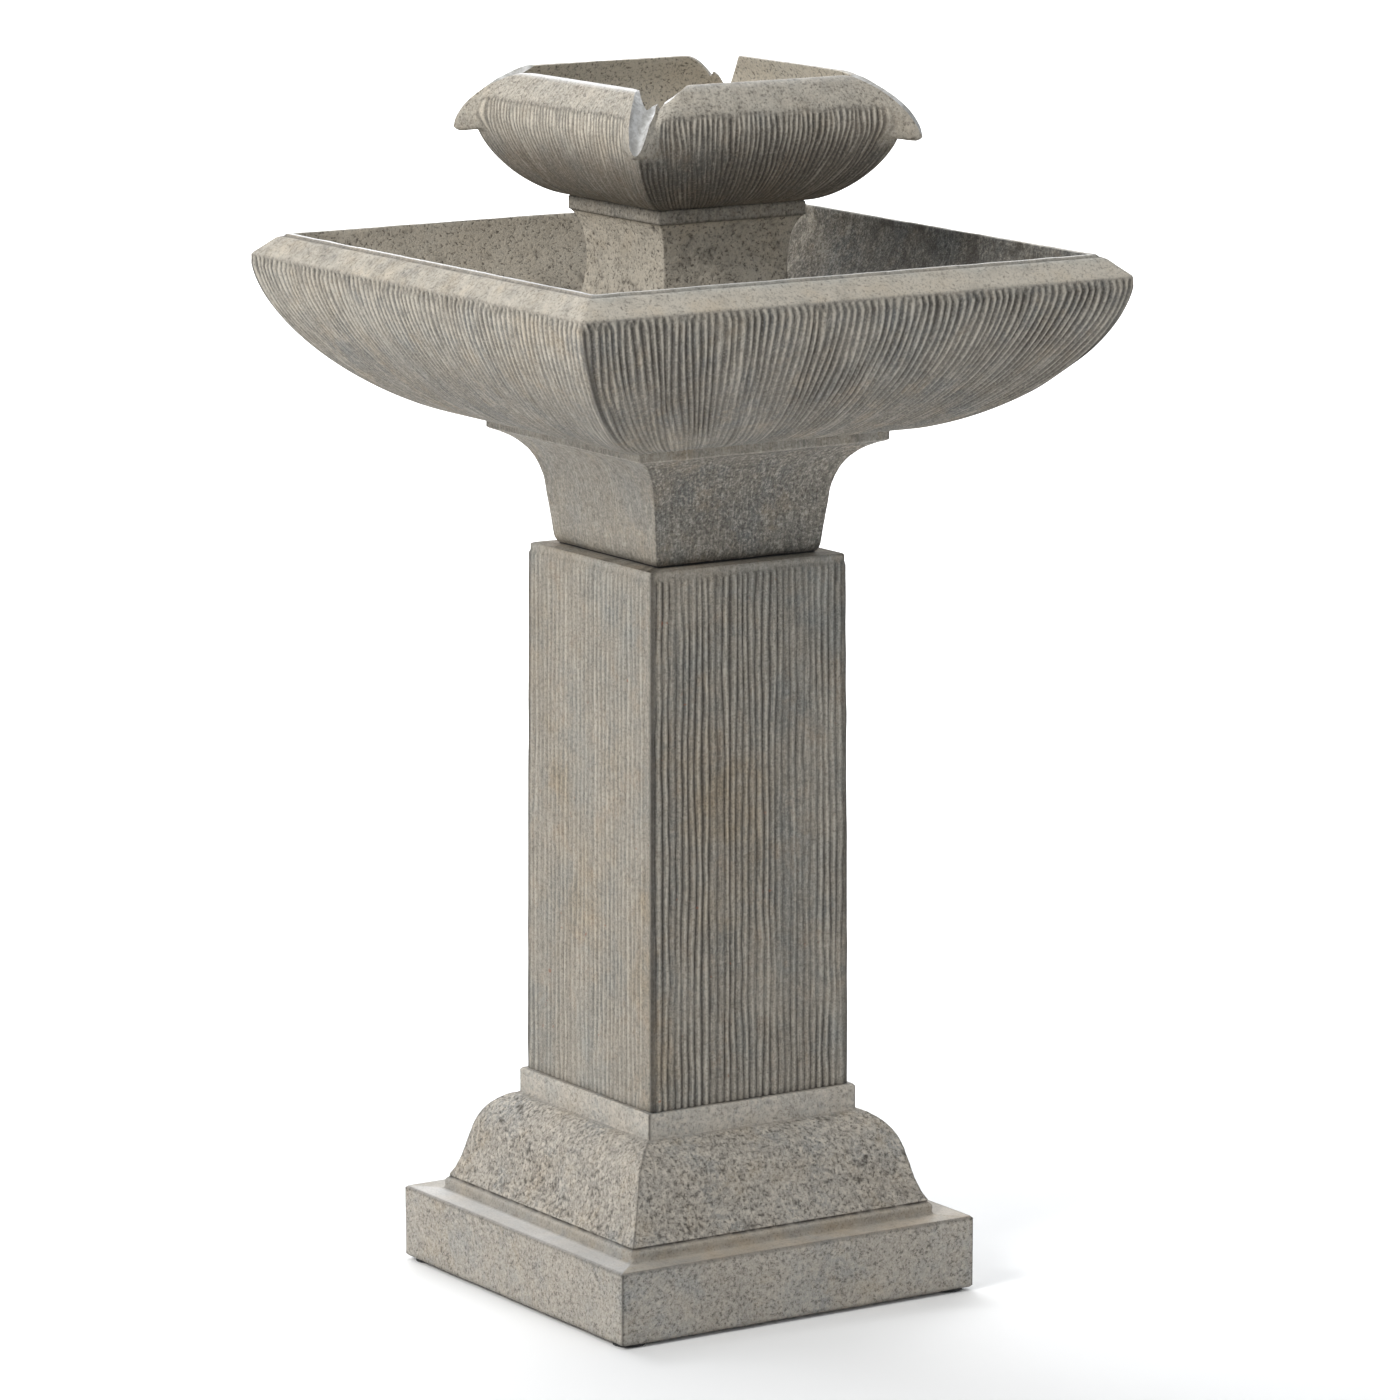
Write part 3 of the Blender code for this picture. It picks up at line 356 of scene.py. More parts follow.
def round_cutter(name, places, radius, bottom, top):
    """Upright round cutters of one radius at several plan places, as one object."""

    def build(shape):
        for x, y in places:
            middle = Matrix.Translation((x, y, (bottom + top) / 2))
            bmesh.ops.create_cone(shape, cap_ends=True, segments=24, radius1=radius, radius2=radius,
                                  depth=top - bottom, matrix=middle)

    return cutter_from(name, build)


def corners(place):
    return [(-place, -place), (place, -place), (place, place), (-place, place)]


# ---- surfaces
def hammered(at, strength=1.0, size=0.003, seed=1):
    """Close hammer marks all over: how deep each point lies, from 0 on the high spots to 1 in a pit."""
    bent = at.p + 0.0013 * np.stack([noise(at.p, 0.0035, seed + k) for k in (11, 12, 13)], -1)
    marks = 0.62 * noise(bent, size, seed) + 0.38 * noise(bent, size * 0.62, seed + 3)
    patches = 0.8 + 0.2 * noise(at.p, 0.024, seed + 5)
    return np.clip((0.46 - 1.15 * marks) * patches * strength, 0, 1)


def near(distance, width):
    """1 where the distance is 0, fading out within width either way."""
    return np.exp(-((distance / width) ** 2))


def darken(found, amount, most=0.9):
    """Adds darkness to the mask that holds both the dark washing and the painted shade lines, up to the most
    that the place takes.
    """
    found["wash_and_painted_shade"] = np.clip(found["wash_and_painted_shade"] + amount, 0, most)


def edge_line(at, width=0.0011):
    """1 on the upright corner edges, fading out within width."""
    return near(at.from_corner, width)


def rough_face(depth, strength=1.0, hammer=1.0, size=0.003, seed=1, edge=0.5, pale=0.0, tint=0.0):
    """A hammered face, washed dark in its pits and along its corner edges."""

    def surface(at):
        pits = hammered(at, strength, size, seed)
        broad = noise(at.p, 0.022, seed + 7) * 0.35 * MM
        line = edge_line(at)
        lift = broad - pits * depth * (1 - 0.6 * line)
        found = {"relief": 0.94 - 0.88 * pits, "wash_and_painted_shade": line * edge, "hammer": hammer, "tint": tint}
        found["pale"] = np.clip(pale * (1 + 0.5 * noise(at.p, 0.019, seed + 9)) * (1 - 0.55 * pits), 0, 1)
        return lift, found

    return surface


def plain_face(pale=0.3, wash_and_painted_shade=0.0, hammer=0.45, edge=0.3, seed=2):
    """A smoother band, with only the casting's own slight unevenness and a worn, pitted paint."""

    def surface(at):
        broad = noise(at.p, 0.016, seed) * 0.22 * MM + noise(at.p, 0.0042, seed + 1) * 0.1 * MM
        worn = 0.65 + 0.35 * noise(at.p, 0.009, seed + 2) + 0.25 * noise(at.p, 0.0032, seed + 6)
        found = {"relief": 0.62 + 0.16 * noise(at.p, 0.003, seed + 4), "pale": np.clip(pale * worn, 0, 1)}
        found["wash_and_painted_shade"] = np.clip(wash_and_painted_shade * worn + edge_line(at) * edge, 0, 1)
        found["hammer"] = hammer
        return broad, found

    return surface


def comb(cycles, sharp):
    """Ridges with grooves between them, from 0 in a groove to 1 on a crest; sharp narrows the crests."""
    return np.abs(np.sin(cycles * math.pi)) ** sharp


def each_ridge(cycles, side, seed):
    """A repeatable number from 0 to 1 for each ridge of each side."""
    cell = np.stack([np.floor(cycles), side, np.zeros_like(side)], -1).astype(np.int64) + 500
    return lattice(cell, seed)


# ---- node materials
class Graph:
    """A material's node graph, built by short calls that each return an output socket."""

    def __init__(self, name):
        self.material = bpy.data.materials.new(name)
        self.material.use_nodes = True
        self.tree = self.material.node_tree
        self.shader = self.tree.nodes["Principled BSDF"]
        self.place = self.add("ShaderNodeTexCoord").outputs["Object"]

    def add(self, kind, inputs=None, **settings):
        node = self.tree.nodes.new(kind)
        for name, value in settings.items():
            setattr(node, name, value)
        for name, value in (inputs or {}).items():
            self.give(node.inputs[name], value)
        return node

    def give(self, socket, value):
        if isinstance(value, bpy.types.NodeSocket):
            self.tree.links.new(value, socket)
        elif hasattr(value, "__len__") and len(value) == 3 and socket.type == "RGBA":
            socket.default_value = (*value, 1.0)
        else:
            socket.default_value = value

    def mask(self, name):
        return self.add("ShaderNodeAttribute", attribute_name=name).outputs["Fac"]

    def stretched(self, scale):
        return self.add("ShaderNodeMapping", {"Vector": self.place, "Scale": scale}).outputs[0]

    def cloud(self, scale, detail=2.0, roughness=0.5, vector=None, distortion=0.0):
        """Noise from 0 to 1; scale is in cells a metre."""
        inputs = {"Vector": vector or self.place, "Scale": scale, "Detail": detail}
        inputs |= {"Roughness": roughness, "Distortion": distortion}
        return self.add("ShaderNodeTexNoise", inputs).outputs["Fac"]

    def span(self, value, start, end, first=0.0, last=1.0):
        """A soft step of the value: first up to start, and last from end on."""
        inputs = {"Value": value, "From Min": start, "From Max": end, "To Min": first, "To Max": last}
        return self.add("ShaderNodeMapRange", inputs, interpolation_type="SMOOTHSTEP").outputs[0]

    def maths(self, operation, a, b):
        node = self.add("ShaderNodeMath", operation=operation)
        self.give(node.inputs[0], a)
        self.give(node.inputs[1], b)
        return node.outputs[0]

    def gloss(self, scale, low_end, high_end):
        """Slight variation between two roughnesses."""
        return self.span(self.cloud(scale, 2), 0.3, 0.7, low_end, high_end)

    def times(self, a, b):
        return self.maths("MULTIPLY", a, b)

    def mix(self, share, a, b, blend="MIX"):
        node = self.add("ShaderNodeMix", data_type="RGBA", blend_type=blend, clamp_result=True)
        self.give(node.inputs[0], share)
        self.give(node.inputs[6], a)
        self.give(node.inputs[7], b)
        return node.outputs[2]

    def coat(self, share, colour, blend="MIX"):
        """Lays a colour over what has been painted so far."""
        self.colour = self.mix(share, self.colour, colour, blend)

    def bump(self, height, distance, strength=1.0, under=None):
        inputs = {"Height": height, "Distance": distance, "Strength": strength}
        if under:
            inputs["Normal"] = under
        return self.add("ShaderNodeBump", inputs).outputs[0]

    def finish(self, **sockets):
        for name, value in {"Base_Color": self.colour, **sockets}.items():
            self.give(self.shader.inputs[name.replace("_", " ")], value)
        return self.material


def stone(name, mid, cool, warm, groove, cream, fibre=0.0, rust=0.0):
    """Cast stone finish: a washed mid tone, dark recesses, dry-brushed pale crests and a pitted grain, with
    painted shade and painted highlights where the masks put them.
    """
    g = Graph(name)
    g.colour = g.mix(g.span(g.cloud(24, 4, 0.68), 0.44, 0.66, 0, 0.85), mid, cool)
    g.coat(g.span(g.cloud(37, 4, 0.7), 0.52, 0.7, 0, 0.7), warm)
    relief = g.mask("relief")
    if fibre:
        hair = g.cloud(1.0, 4, 0.72, g.add("ShaderNodeAttribute", attribute_name="strand").outputs["Vector"])
        g.coat(g.span(hair, 0.5, 0.7, 0, fibre), cream)
        g.coat(g.span(hair, 0.5, 0.3, 0, fibre), groove)
    hammer = g.mask("hammer")
    grain = g.cloud(430, 3, 0.66, distortion=0.35)
    fine = g.cloud(760, 2, 0.6)
    pits = g.times(g.span(grain, 0.47, 0.34), g.span(hammer, 0, 1, 0.12, 0.8))
    crests = g.times(g.span(grain, 0.5, 0.66), g.span(hammer, 0, 1, 0.1, 0.58))
    brushed = g.times(g.span(relief, 0.62, 0.96), g.span(g.cloud(95, 3, 0.6), 0.32, 0.62, 0.4, 0.95))
    g.coat(brushed, cream)
    g.coat(g.mask("pale"), cream)
    g.coat(crests, tuple(min(1.0, 1.08 * c) for c in cream))
    g.coat(g.span(relief, 0.58, 0.12, 0, 0.94), groove)
    g.coat(pits, groove)
    g.coat(g.span(fine, 0.54, 0.7, 0, 0.26), cream)
    g.coat(g.span(fine, 0.46, 0.3, 0, 0.4), groove)
    tint = g.maths("ADD", g.mask("tint"), g.span(g.cloud(33, 3, 0.65), 0.25, 0.75, -0.34, 0.34))
    g.coat(g.span(tint, 0, 1.2), (1.0, 0.89, 0.74), "MULTIPLY")
    g.coat(g.span(tint, 0, -1.2), (0.82, 0.9, 0.98), "MULTIPLY")
    if rust:
        dots = g.times(g.span(g.cloud(210, 1), 0.72, 0.78), g.span(g.cloud(26, 1), 0.52, 0.64))
        g.coat(g.times(dots, rust), (0.26, 0.11, 0.07))
    # Dark washing, and the painted shade lines that share its mask.
    g.coat(g.mask("wash_and_painted_shade"), tuple(0.5 * c for c in groove))
    # Painted highlight: a pale grey laid over the colour on the glossy edges; the same mask also lowers the
    # roughness.
    gloss_and_painted_highlight = g.mask("gloss_and_painted_highlight")
    g.coat(g.times(gloss_and_painted_highlight, g.span(fine, 0.3, 0.6, 0.7, 1.0)), (0.8, 0.8, 0.81))
    low = g.bump(fine, 0.00045, 0.6)
    normal = g.bump(grain, 0.0011, g.span(hammer, 0, 1, 0.15, 0.85), low)
    rough = g.maths("SUBTRACT", g.gloss(260, 0.68, 0.88), g.times(gloss_and_painted_highlight, 0.35))
    return g.finish(Roughness=rough, Normal=normal)


def glazed_channel():
    """The worn smooth, slightly shiny lining of the spouts."""
    g = Graph("spout_channel")
    g.colour = g.mix(g.span(g.cloud(120, 3, 0.6), 0.35, 0.65), (0.4, 0.39, 0.37), (0.66, 0.66, 0.65))
    g.coat(g.span(g.cloud(420, 2), 0.6, 0.72, 0, 0.35), (0.2, 0.18, 0.16))
    rough = g.gloss(300, 0.2, 0.36)
    return g.finish(Roughness=rough, Normal=g.bump(g.cloud(160, 2), 0.0006, 0.35))


def moulded(name, base, lighter, roughness, grain=1400, bump=0.00008):
    """Moulded plastic or rubber: a fine spark-eroded grain with slight colour and gloss variation."""
    g = Graph(name)
    g.colour = g.mix(g.span(g.cloud(70, 3, 0.6), 0.35, 0.7), base, lighter)
    rough = g.gloss(240, roughness - 0.07, roughness + 0.07)
    return g.finish(Roughness=rough, Normal=g.bump(g.cloud(grain, 2), bump, 0.6))


def plated(name, base, stained, roughness, brushing):
    """Plated or stainless steel with turning marks and slight stains."""
    g = Graph(name)
    marks = g.cloud(1.0, 2, 0.5, g.stretched(brushing))
    g.colour = g.mix(g.span(g.cloud(320, 3, 0.6), 0.45, 0.72), base, stained)
    rough = g.span(marks, 0.3, 0.7, roughness - 0.08, roughness + 0.12)
    return g.finish(Roughness=rough, Metallic=1.0, Normal=g.bump(marks, 0.00006, 0.5))


def lines(g, axis, pitch, width, offset=0.0):
    """1 on thin lines across that axis, a pitch apart."""
    place = g.add("ShaderNodeSeparateXYZ", {"Vector": g.place}).outputs[axis]
    shifted = g.maths("ADD", place, 100 * pitch + offset)
    folded = g.maths("PINGPONG", shifted, pitch / 2)
    return g.span(folded, width, width * 0.6)


def solar_cells():
    """Dark blue cells with a fine finger grid and brighter bus bars between them."""
    g = Graph("solar_cells")
    g.colour = g.mix(g.span(g.cloud(260, 3, 0.7), 0.35, 0.65), (0.01, 0.018, 0.06), (0.022, 0.045, 0.14))
    g.coat(g.times(lines(g, 0, 0.0013, 0.00016), 0.45), (0.45, 0.46, 0.48))
    g.coat(lines(g, 1, 0.0139, 0.0005), (0.55, 0.56, 0.58))
    g.coat(lines(g, 0, 0.0208, 0.0007), (0.04, 0.04, 0.045))
    rough = g.gloss(500, 0.16, 0.3)
    return g.finish(Roughness=rough)


def window():
    """Clear polycarbonate with faint scratches and water marks."""
    g = Graph("clear_window")
    marks = g.span(g.cloud(150, 4, 0.7), 0.52, 0.7)
    rough = g.maths("ADD", g.times(marks, 0.2), 0.05)
    g.colour = g.mix(marks, (0.86, 0.92, 0.93), (0.78, 0.82, 0.8))
    return g.finish(Roughness=rough, Alpha=0.35)


def laminated():
    """Stacked steel sheets, seen as thin lines across the core."""
    g = Graph("stator_lamination")
    seam = lines(g, 2, 0.0005, 0.00009)
    g.colour = g.mix(seam, (0.36, 0.35, 0.34), (0.1, 0.095, 0.09))
    g.coat(g.span(g.cloud(240, 3), 0.52, 0.75, 0, 0.6), (0.22, 0.13, 0.08))
    return g.finish(Roughness=g.span(seam, 0, 1, 0.38, 0.65), Metallic=0.9)


def cell_wrap():
    """Shrink-wrapped cells: a green sleeve with a paler band by the positive end."""
    g = Graph("cell_wrap")
    height = g.add("ShaderNodeSeparateXYZ", {"Vector": g.place}).outputs[2]
    top = high("battery_cell_1").z
    sleeve = g.mix(g.span(g.cloud(150, 2), 0.3, 0.7), (0.05, 0.24, 0.09), (0.09, 0.34, 0.13))
    g.colour = g.mix(g.span(height, top - 0.0086, top - 0.0078), sleeve, (0.62, 0.6, 0.52))
    g.coat(g.span(height, top - 0.0014, top - 0.0011), (0.5, 0.5, 0.5))
    return g.finish(Roughness=g.gloss(400, 0.24, 0.42))


# colours of the painted stone, linear
GROOVE = (0.076, 0.066, 0.054)
CREAM = (0.64, 0.585, 0.495)

PEDESTAL_LOOK = stone("stone_pedestal", (0.315, 0.288, 0.25), (0.25, 0.258, 0.254), (0.35, 0.295, 0.22),
                      GROOVE, (0.55, 0.5, 0.43))
COLUMN_LOOK = stone("stone_column", (0.238, 0.214, 0.178), (0.17, 0.17, 0.156), (0.28, 0.222, 0.165),
                    GROOVE, (0.5, 0.455, 0.385), fibre=0.5, rust=0.75)
BASIN_LOOK = stone("stone_basin", (0.195, 0.178, 0.151), (0.15, 0.151, 0.145), (0.28, 0.23, 0.17),
                   GROOVE, (0.56, 0.51, 0.43), fibre=0.46)
BOWL_LOOK = stone("stone_bowl", (0.2, 0.174, 0.142), (0.155, 0.148, 0.133), (0.25, 0.2, 0.15),
                  GROOVE, CREAM, fibre=0.48)
CHANNEL_LOOK = glazed_channel()


# ---- base casting
BASE_COLUMNS = 180
FILLET_HALF = 0.1228
PLINTH_TOP = 0.0526
COLLAR_HALF = 0.0845
COLLAR_FOOT = 0.125
OPENING_HALF = 0.03
BOLT_PLACE = 0.048
BOLT_HOLE = 0.0042
EDGE = 0.0013
COVE_LINE_Z = 0.0616  # the dark joint line under the shoulder


def cove_face(at):
    """The cove under the shoulder, with its broken dark joint line."""
    lift, found = plain_face(0.5, 0.0, 0.25)(at)
    found["tint"] = at.sides(0.35, 0.2, 0.2, 0)
    dots = smooth(noise(at.p, (0.0035, 0.0035, 0.01), 41), -0.5, 0.25)
    line = near(at.z - COVE_LINE_Z, 0.0011) * (0.55 + 0.4 * dots)
    darken(found, line, 0.95)
    found["pale"] = found["pale"] * (1 - line)
    return lift - line * 0.6 * MM, found


def ledge_face(at):
    """The plinth's top: a painted highlight, a pale cool sky reflection, on the -X side, with a dark outer
    edge.
    """
    lift, found = plain_face(0.5, 0.0, 0.2)(at)
    joint = near(at.half - FILLET_HALF - 0.0008, 0.001) * (at.z < PLINTH_TOP + 0.0012)
    edge = near(PLINTH_HALF - at.half, 0.0017)
    found["wash_and_painted_shade"] = np.clip(0.22 * joint + 0.8 * edge, 0, 0.85)
    # The cool tint on the -X side belongs to the painted highlight there, as a painted sky reflection.
    found["tint"] = at.sides(0.45, 0.2, 0.2, -0.2)
    flat = smooth(at.half, FILLET_HALF + 0.001, FILLET_HALF + 0.003) * (1 - edge)
    found["gloss_and_painted_highlight"] = flat * at.sides(0.05, 0.2, 0.2, 0.55) * (0.7 + 0.3 * noise(at.p, 0.03, 45))
    return lift * 0.6, found


def plinth_face(at):
    """The plinth's upright sides, washed dark along their edges."""
    lift, found = rough_face(0.28 * MM, 0.62, 0.75, 0.003, 51, 0.75)(at)
    edges = 1.25 * near(PLINTH_TOP - at.z, 0.0015) + 0.7 * near(at.z - PLINTH_FOOT, 0.002)
    front_corner = np.where(at.side == 0, at.from_left, at.from_right)
    found["relief"] = 0.6 + 0.42 * (found["relief"] - 0.55)
    found["pale"] = np.clip(0.22 + 0.16 * noise(at.p, 0.025, 52), 0, 1)
    found["tint"] = -0.45 * at.sides(1, 0, 0, 1) * np.exp(-front_corner / 0.03)
    darken(found, 0.62 * edges)
    return lift, found


def build_base():
    collar = [(COLLAR_HALF - EDGE, COLLAR_TOP), (COLLAR_HALF, COLLAR_TOP - EDGE), (COLLAR_HALF, COLLAR_FOOT)]
    shoulder = curve(
        [(0.0862, COLLAR_FOOT - 0.0012), (0.09, 0.1228), (0.0965, 0.1185), (0.1025, 0.112),
         (0.1072, 0.103), (0.1105, 0.0915), (0.114, 0.078), (0.1178, 0.068), (0.1208, 0.0626)], 0.00125)
    cove = curve([(0.1208, 0.0626), (0.1205, 0.0616), (0.1211, 0.0606), (0.1221, 0.0597), (0.1227, 0.0585),
                  (FILLET_HALF, 0.057)], 0.0008)
    ledge = [(FILLET_HALF, 0.057), (FILLET_HALF, 0.0545), (FILLET_HALF + 0.0006, 0.0531),
             (FILLET_HALF + 0.002, PLINTH_TOP), (PLINTH_HALF - EDGE, PLINTH_TOP)]
    plinth = [(PLINTH_HALF - EDGE, PLINTH_TOP), (PLINTH_HALF, PLINTH_TOP - EDGE),
              (PLINTH_HALF, PLINTH_FOOT + EDGE), (PLINTH_HALF - EDGE, PLINTH_FOOT)]
    roof = COLLAR_TOP - 0.012
    inside = [(PLINTH_HALF - EDGE, PLINTH_FOOT), (PLINTH_HALF - 0.026, PLINTH_FOOT), (0.117, 0.0426),
              (0.107, 0.06), (0.102, 0.078), (0.095, 0.1), (0.076, 0.122), (0.0745, roof),
              (OPENING_HALF, roof), (OPENING_HALF, COLLAR_TOP), (COLLAR_HALF - EDGE, COLLAR_TOP)]

    zones = [
        Zone(resample(collar, 0.0013), BASE_COLUMNS,
             rough_face(0.2 * MM, 0.5, 0.45, 0.0022, 31, 0.9, 0.44, -0.2)),
        Zone(resample([collar[-1], tuple(shoulder[0])], 0.001), BASE_COLUMNS, plain_face(0.35, 0.25)),
        Zone(shoulder, BASE_COLUMNS, rough_face(0.9 * MM, 0.86, 0.9, 0.0021, 21, 0.6, 0.2, 0.05)),
        Zone(cove, BASE_COLUMNS, cove_face),
        Zone(resample(ledge, 0.0014), BASE_COLUMNS, ledge_face),
        Zone(resample(plinth, 0.0015), BASE_COLUMNS, plinth_face),
        Zone(resample(inside, 0.02), BASE_COLUMNS // 6, plain_face(0.1)),
    ]
    holes = round_cutter("base_bolt_holes", corners(BOLT_PLACE), BOLT_HOLE, roof - 0.01, COLLAR_TOP + 0.01)
    return casting("base_casting", zones, "pedestal", PEDESTAL_LOOK, False, [holes])


# ---- column casting
COLUMN_RIDGES = 29
COLUMN_COLUMNS = 203
COLUMN_LIP_HALF = 0.078
COMB_DEPTH = (1.0, 0.9, 0.95, 0.62)  # how deep the comb went on the -Y, +X, +Y and -X faces


def combed_column(at):
    """Upright ridges of uneven width that waver, merge and stop short below the plain lip."""
    across = np.stack([at.along, at.side * 3.0, at.z], -1)
    wander = 0.26 * noise(across, (0.011, 1, 0.075), 61) + 0.13 * noise(across, (0.006, 1, 0.021), 62)
    cycles = at.t * COLUMN_RIDGES / 2 + wander
    sizes = each_ridge(cycles, at.side, 63)
    ridge = comb(cycles, 1.05)
    faded = smooth(noise(across, (0.019, 1, 0.055), 64), -0.85, 0.25)
    plain_strip = 1 - (1 - smooth(at.from_right, 0.0065, 0.01)) * at.sides(0, 0.6, 0.6, 1)
    start = COLUMN_TOP - 0.0032 - 0.0022 * sizes
    begun = smooth(start - at.z, 0.0, 0.0026)
    shown = begun * (0.12 + 0.88 * plain_strip)
    deep = (0.62 + 0.38 * sizes) * (0.62 + 0.38 * faded) * at.sides(*COMB_DEPTH)
    line = edge_line(at, 0.0019)
    height = 0.25 * (1 - shown) + shown * (1 - deep * (1 - ridge))
    lift = (1.6 * height * begun - 0.35 * begun) * MM + noise(at.p, 0.02, 65) * 0.2 * MM
    relief = 0.6 * (1 - shown) + shown * (0.9 - 0.95 * deep * (1 - ridge)) * (0.82 + 0.18 * sizes)
    # Painted shadow: a dark line in the grooves where they begin under the plain lip.
    shadow = near(at.z - start, 0.001) * 0.3 * (1 - ridge)
    foot = near(at.z - COLUMN_FOOT, 0.0016) * 0.25
    found = {"relief": relief, "wash_and_painted_shade": np.clip(0.8 * line + shadow + foot, 0, 0.9), "hammer": 0.35}
    found["pale"] = 0.12 * (1 - plain_strip) + 0.25 * (1 - begun) + at.sides(0, 0.04, 0.04, 0.12)
    found["tint"] = 0.55 * noise(across, (0.035, 1, 0.09), 66)
    return lift, found


def build_column():
    outer = [(COLUMN_LIP_HALF - 0.001, COLUMN_TOP), (COLUMN_LIP_HALF, COLUMN_TOP - 0.001)]
    lip = resample([*outer, (COLUMN_LIP_HALF, COLUMN_TOP - 0.012)], 0.0011)
    shaft = resample([tuple(lip[-1]), (COLUMN_HALF, COLUMN_FOOT)], 0.0058)
    web = 0.012
    bore = 0.066
    socket = 0.047
    inside = [(COLUMN_HALF, COLUMN_FOOT), (OPENING_HALF, COLUMN_FOOT), (OPENING_HALF, COLUMN_FOOT + web),
              (bore, COLUMN_FOOT + web), (bore, COLUMN_TOP - web), (socket, COLUMN_TOP - web),
              (socket, COLUMN_TOP), outer[0]]
    zones = [
        Zone(lip, COLUMN_COLUMNS, combed_column, 0.0012),
        Zone(shaft, COLUMN_COLUMNS, combed_column, 0.0012),
        Zone(resample(inside, 0.04), COLUMN_COLUMNS // 6, plain_face(0.1)),
    ]
    top = COLUMN_FOOT + web + 0.01
    holes = round_cutter("column_bolt_holes", corners(BOLT_PLACE), BOLT_HOLE, COLUMN_FOOT - 0.01, top)
    return casting("column_casting", zones, "pedestal", COLUMN_LOOK, False, [holes])


# ---- basin casting
BASIN_RIDGES = 75
BASIN_COLUMNS = 450
BASIN_FLOOR = 0.614
BASIN_LIP_HALF = 0.1954
BASIN_BAND_FOOT = 0.707
BASIN_WIDE_Z = 0.704
NECK_TOP_HALF = 0.1
NECK_TOP_Z = 0.598
NECK_BOTTOM = 0.5132
NECK_HALF = 0.0642
NECK_SHADOW_Z = 0.5898  # the painted shadow line under the collar, where the neck meets it


def basin_cycles(at):
    """How many ridges lie between each point and the middle of its face: they waver and merge."""
    across = np.stack([at.t * BASIN_HALF, at.side * 3.0, at.v * 0.16 * (at.z < BASIN_BAND_FOOT)], -1)
    wander = 0.36 * noise(across, (0.017, 1, 0.06), 71) + 0.17 * noise(across, (0.009, 1, 0.024), 72)
    return at.t * BASIN_RIDGES / 2 + wander


def combed_basin(at):
    """Ridges that run down the bulging flank, deep under the rim and fading into streaks below."""
    across = np.stack([at.t * BASIN_HALF, at.side * 3.0, at.v * 0.16], -1)
    cycles = basin_cycles(at)
    sizes = each_ridge(cycles, at.side, 73)
    ridge = comb(cycles, 1.35)
    faded = 1 - 0.42 * smooth(at.v, 0.16, 0.95)
    patchy = 0.74 + 0.26 * noise(across, (0.03, 1, 0.03), 74)
    deep = faded * patchy * (0.66 + 0.34 * sizes) * at.sides(*COMB_DEPTH)
    groove = 1 - ridge
    line = edge_line(at, 0.0017) * (1 - 0.8 * smooth(at.v, 0.25, 0.8))
    lift = (0.9 - 2.3 * groove * deep) * smooth(at.v, 0.0, 0.016) * (1 - smooth(at.v, 0.9, 1.0)) * MM
    # Painted shade: the crests go darker down the flank as it turns under towards the neck.
    crest = 1 - smooth(at.v, 0.02, 0.5) * at.sides(0.22, 0.25, 0.25, 0.22)
    relief = (0.94 - 1.25 * groove * deep) * crest
    length = 0.01 + 0.03 * each_ridge(cycles + 0.5, at.side, 77) ** 2
    dots = near(np.maximum(at.v - 0.004, 0), length) * groove ** 0.7
    found = {"relief": relief, "wash_and_painted_shade": np.clip(0.95 * line + 0.85 * dots, 0, 0.95), "hammer": 0.3}
    found["pale"] = at.sides(0, 0.02, 0.02, 0.05) * (1 - smooth(at.v, 0.3, 0.8))
    found["tint"] = 0.35 * noise(across, (0.05, 1, 0.06), 78)
    return lift, found


def basin_rim(at):
    """The sloping rim: a raised inner lip with a thin groove outside it, then the plain pale band; a painted
    highlight runs along the lip, and a painted cool shade lies on the band's upper part away from the -X
    side.
    """
    lift, found = plain_face(0.92, 0.0, 0.5, 0.25, 75)(at)
    groove = near(at.half - BASIN_LIP_HALF - 0.0054, 0.001)
    lip = smooth(BASIN_LIP_HALF + 0.0032 - at.half, 0, 0.0008)
    darken(found, 0.42 * groove, 0.8)
    # Painted highlight along the raised lip: extra pale, plus the glossy mask, strongest on the -X side.
    found["pale"] = np.clip(found["pale"] * (1 - 0.7 * groove) + 0.2 * lip, 0, 1)
    found["gloss_and_painted_highlight"] = lip * at.sides(0.45, 0.25, 0.15, 0.95)
    down = smooth(at.half, BASIN_LIP_HALF + 0.006, BASIN_LIP_HALF + 0.016)
    # Painted cool shade on the upper band near the lip: cooler on every side but -X, which is warm, and less
    # pale on the -Y side.
    found["tint"] = at.sides(-0.55, -0.3, -0.3, 0.2) * (1 - down) + at.sides(0.18, 0.2, 0.2, 0.2) * down
    found["pale"] = found["pale"] * (1 - at.sides(0.4, 0.1, 0.1, 0) * (1 - down))
    found["pale"] = np.clip(found["pale"] + at.sides(0.38, 0.1, 0.1, 0), 0, 1)
    found["relief"] = found["relief"] + at.sides(0.14, 0, 0, 0)
    return lift - groove * 0.6 * MM, found


def basin_inside(at):
    """Hammered inside walls, pale on the -X and +Y sides and left darker on the other two, with a painted
    cool shadow on the +X wall.
    """
    lift, found = rough_face(0.7 * MM, 1.0, 1.0, 0.0056, 92, 0.3)(at)
    pale = at.sides(0.25, 0, 0.92, 0.45) * (1 + 0.75 * noise(at.p, 0.025, 93))
    found["pale"] = np.clip(pale, 0, 1)
    # Painted shadow on the +X wall: darker and cooler over most of it, fading out towards one end.
    shaded = at.sides(0, 1, 0, 0) * smooth(at.t, 0.85, 0.05)
    found["relief"] = 0.3 + 0.62 * found["relief"] - 0.2 * shaded
    darken(found, 0.34 * shaded)
    found["tint"] = -0.55 * shaded
    return lift, found


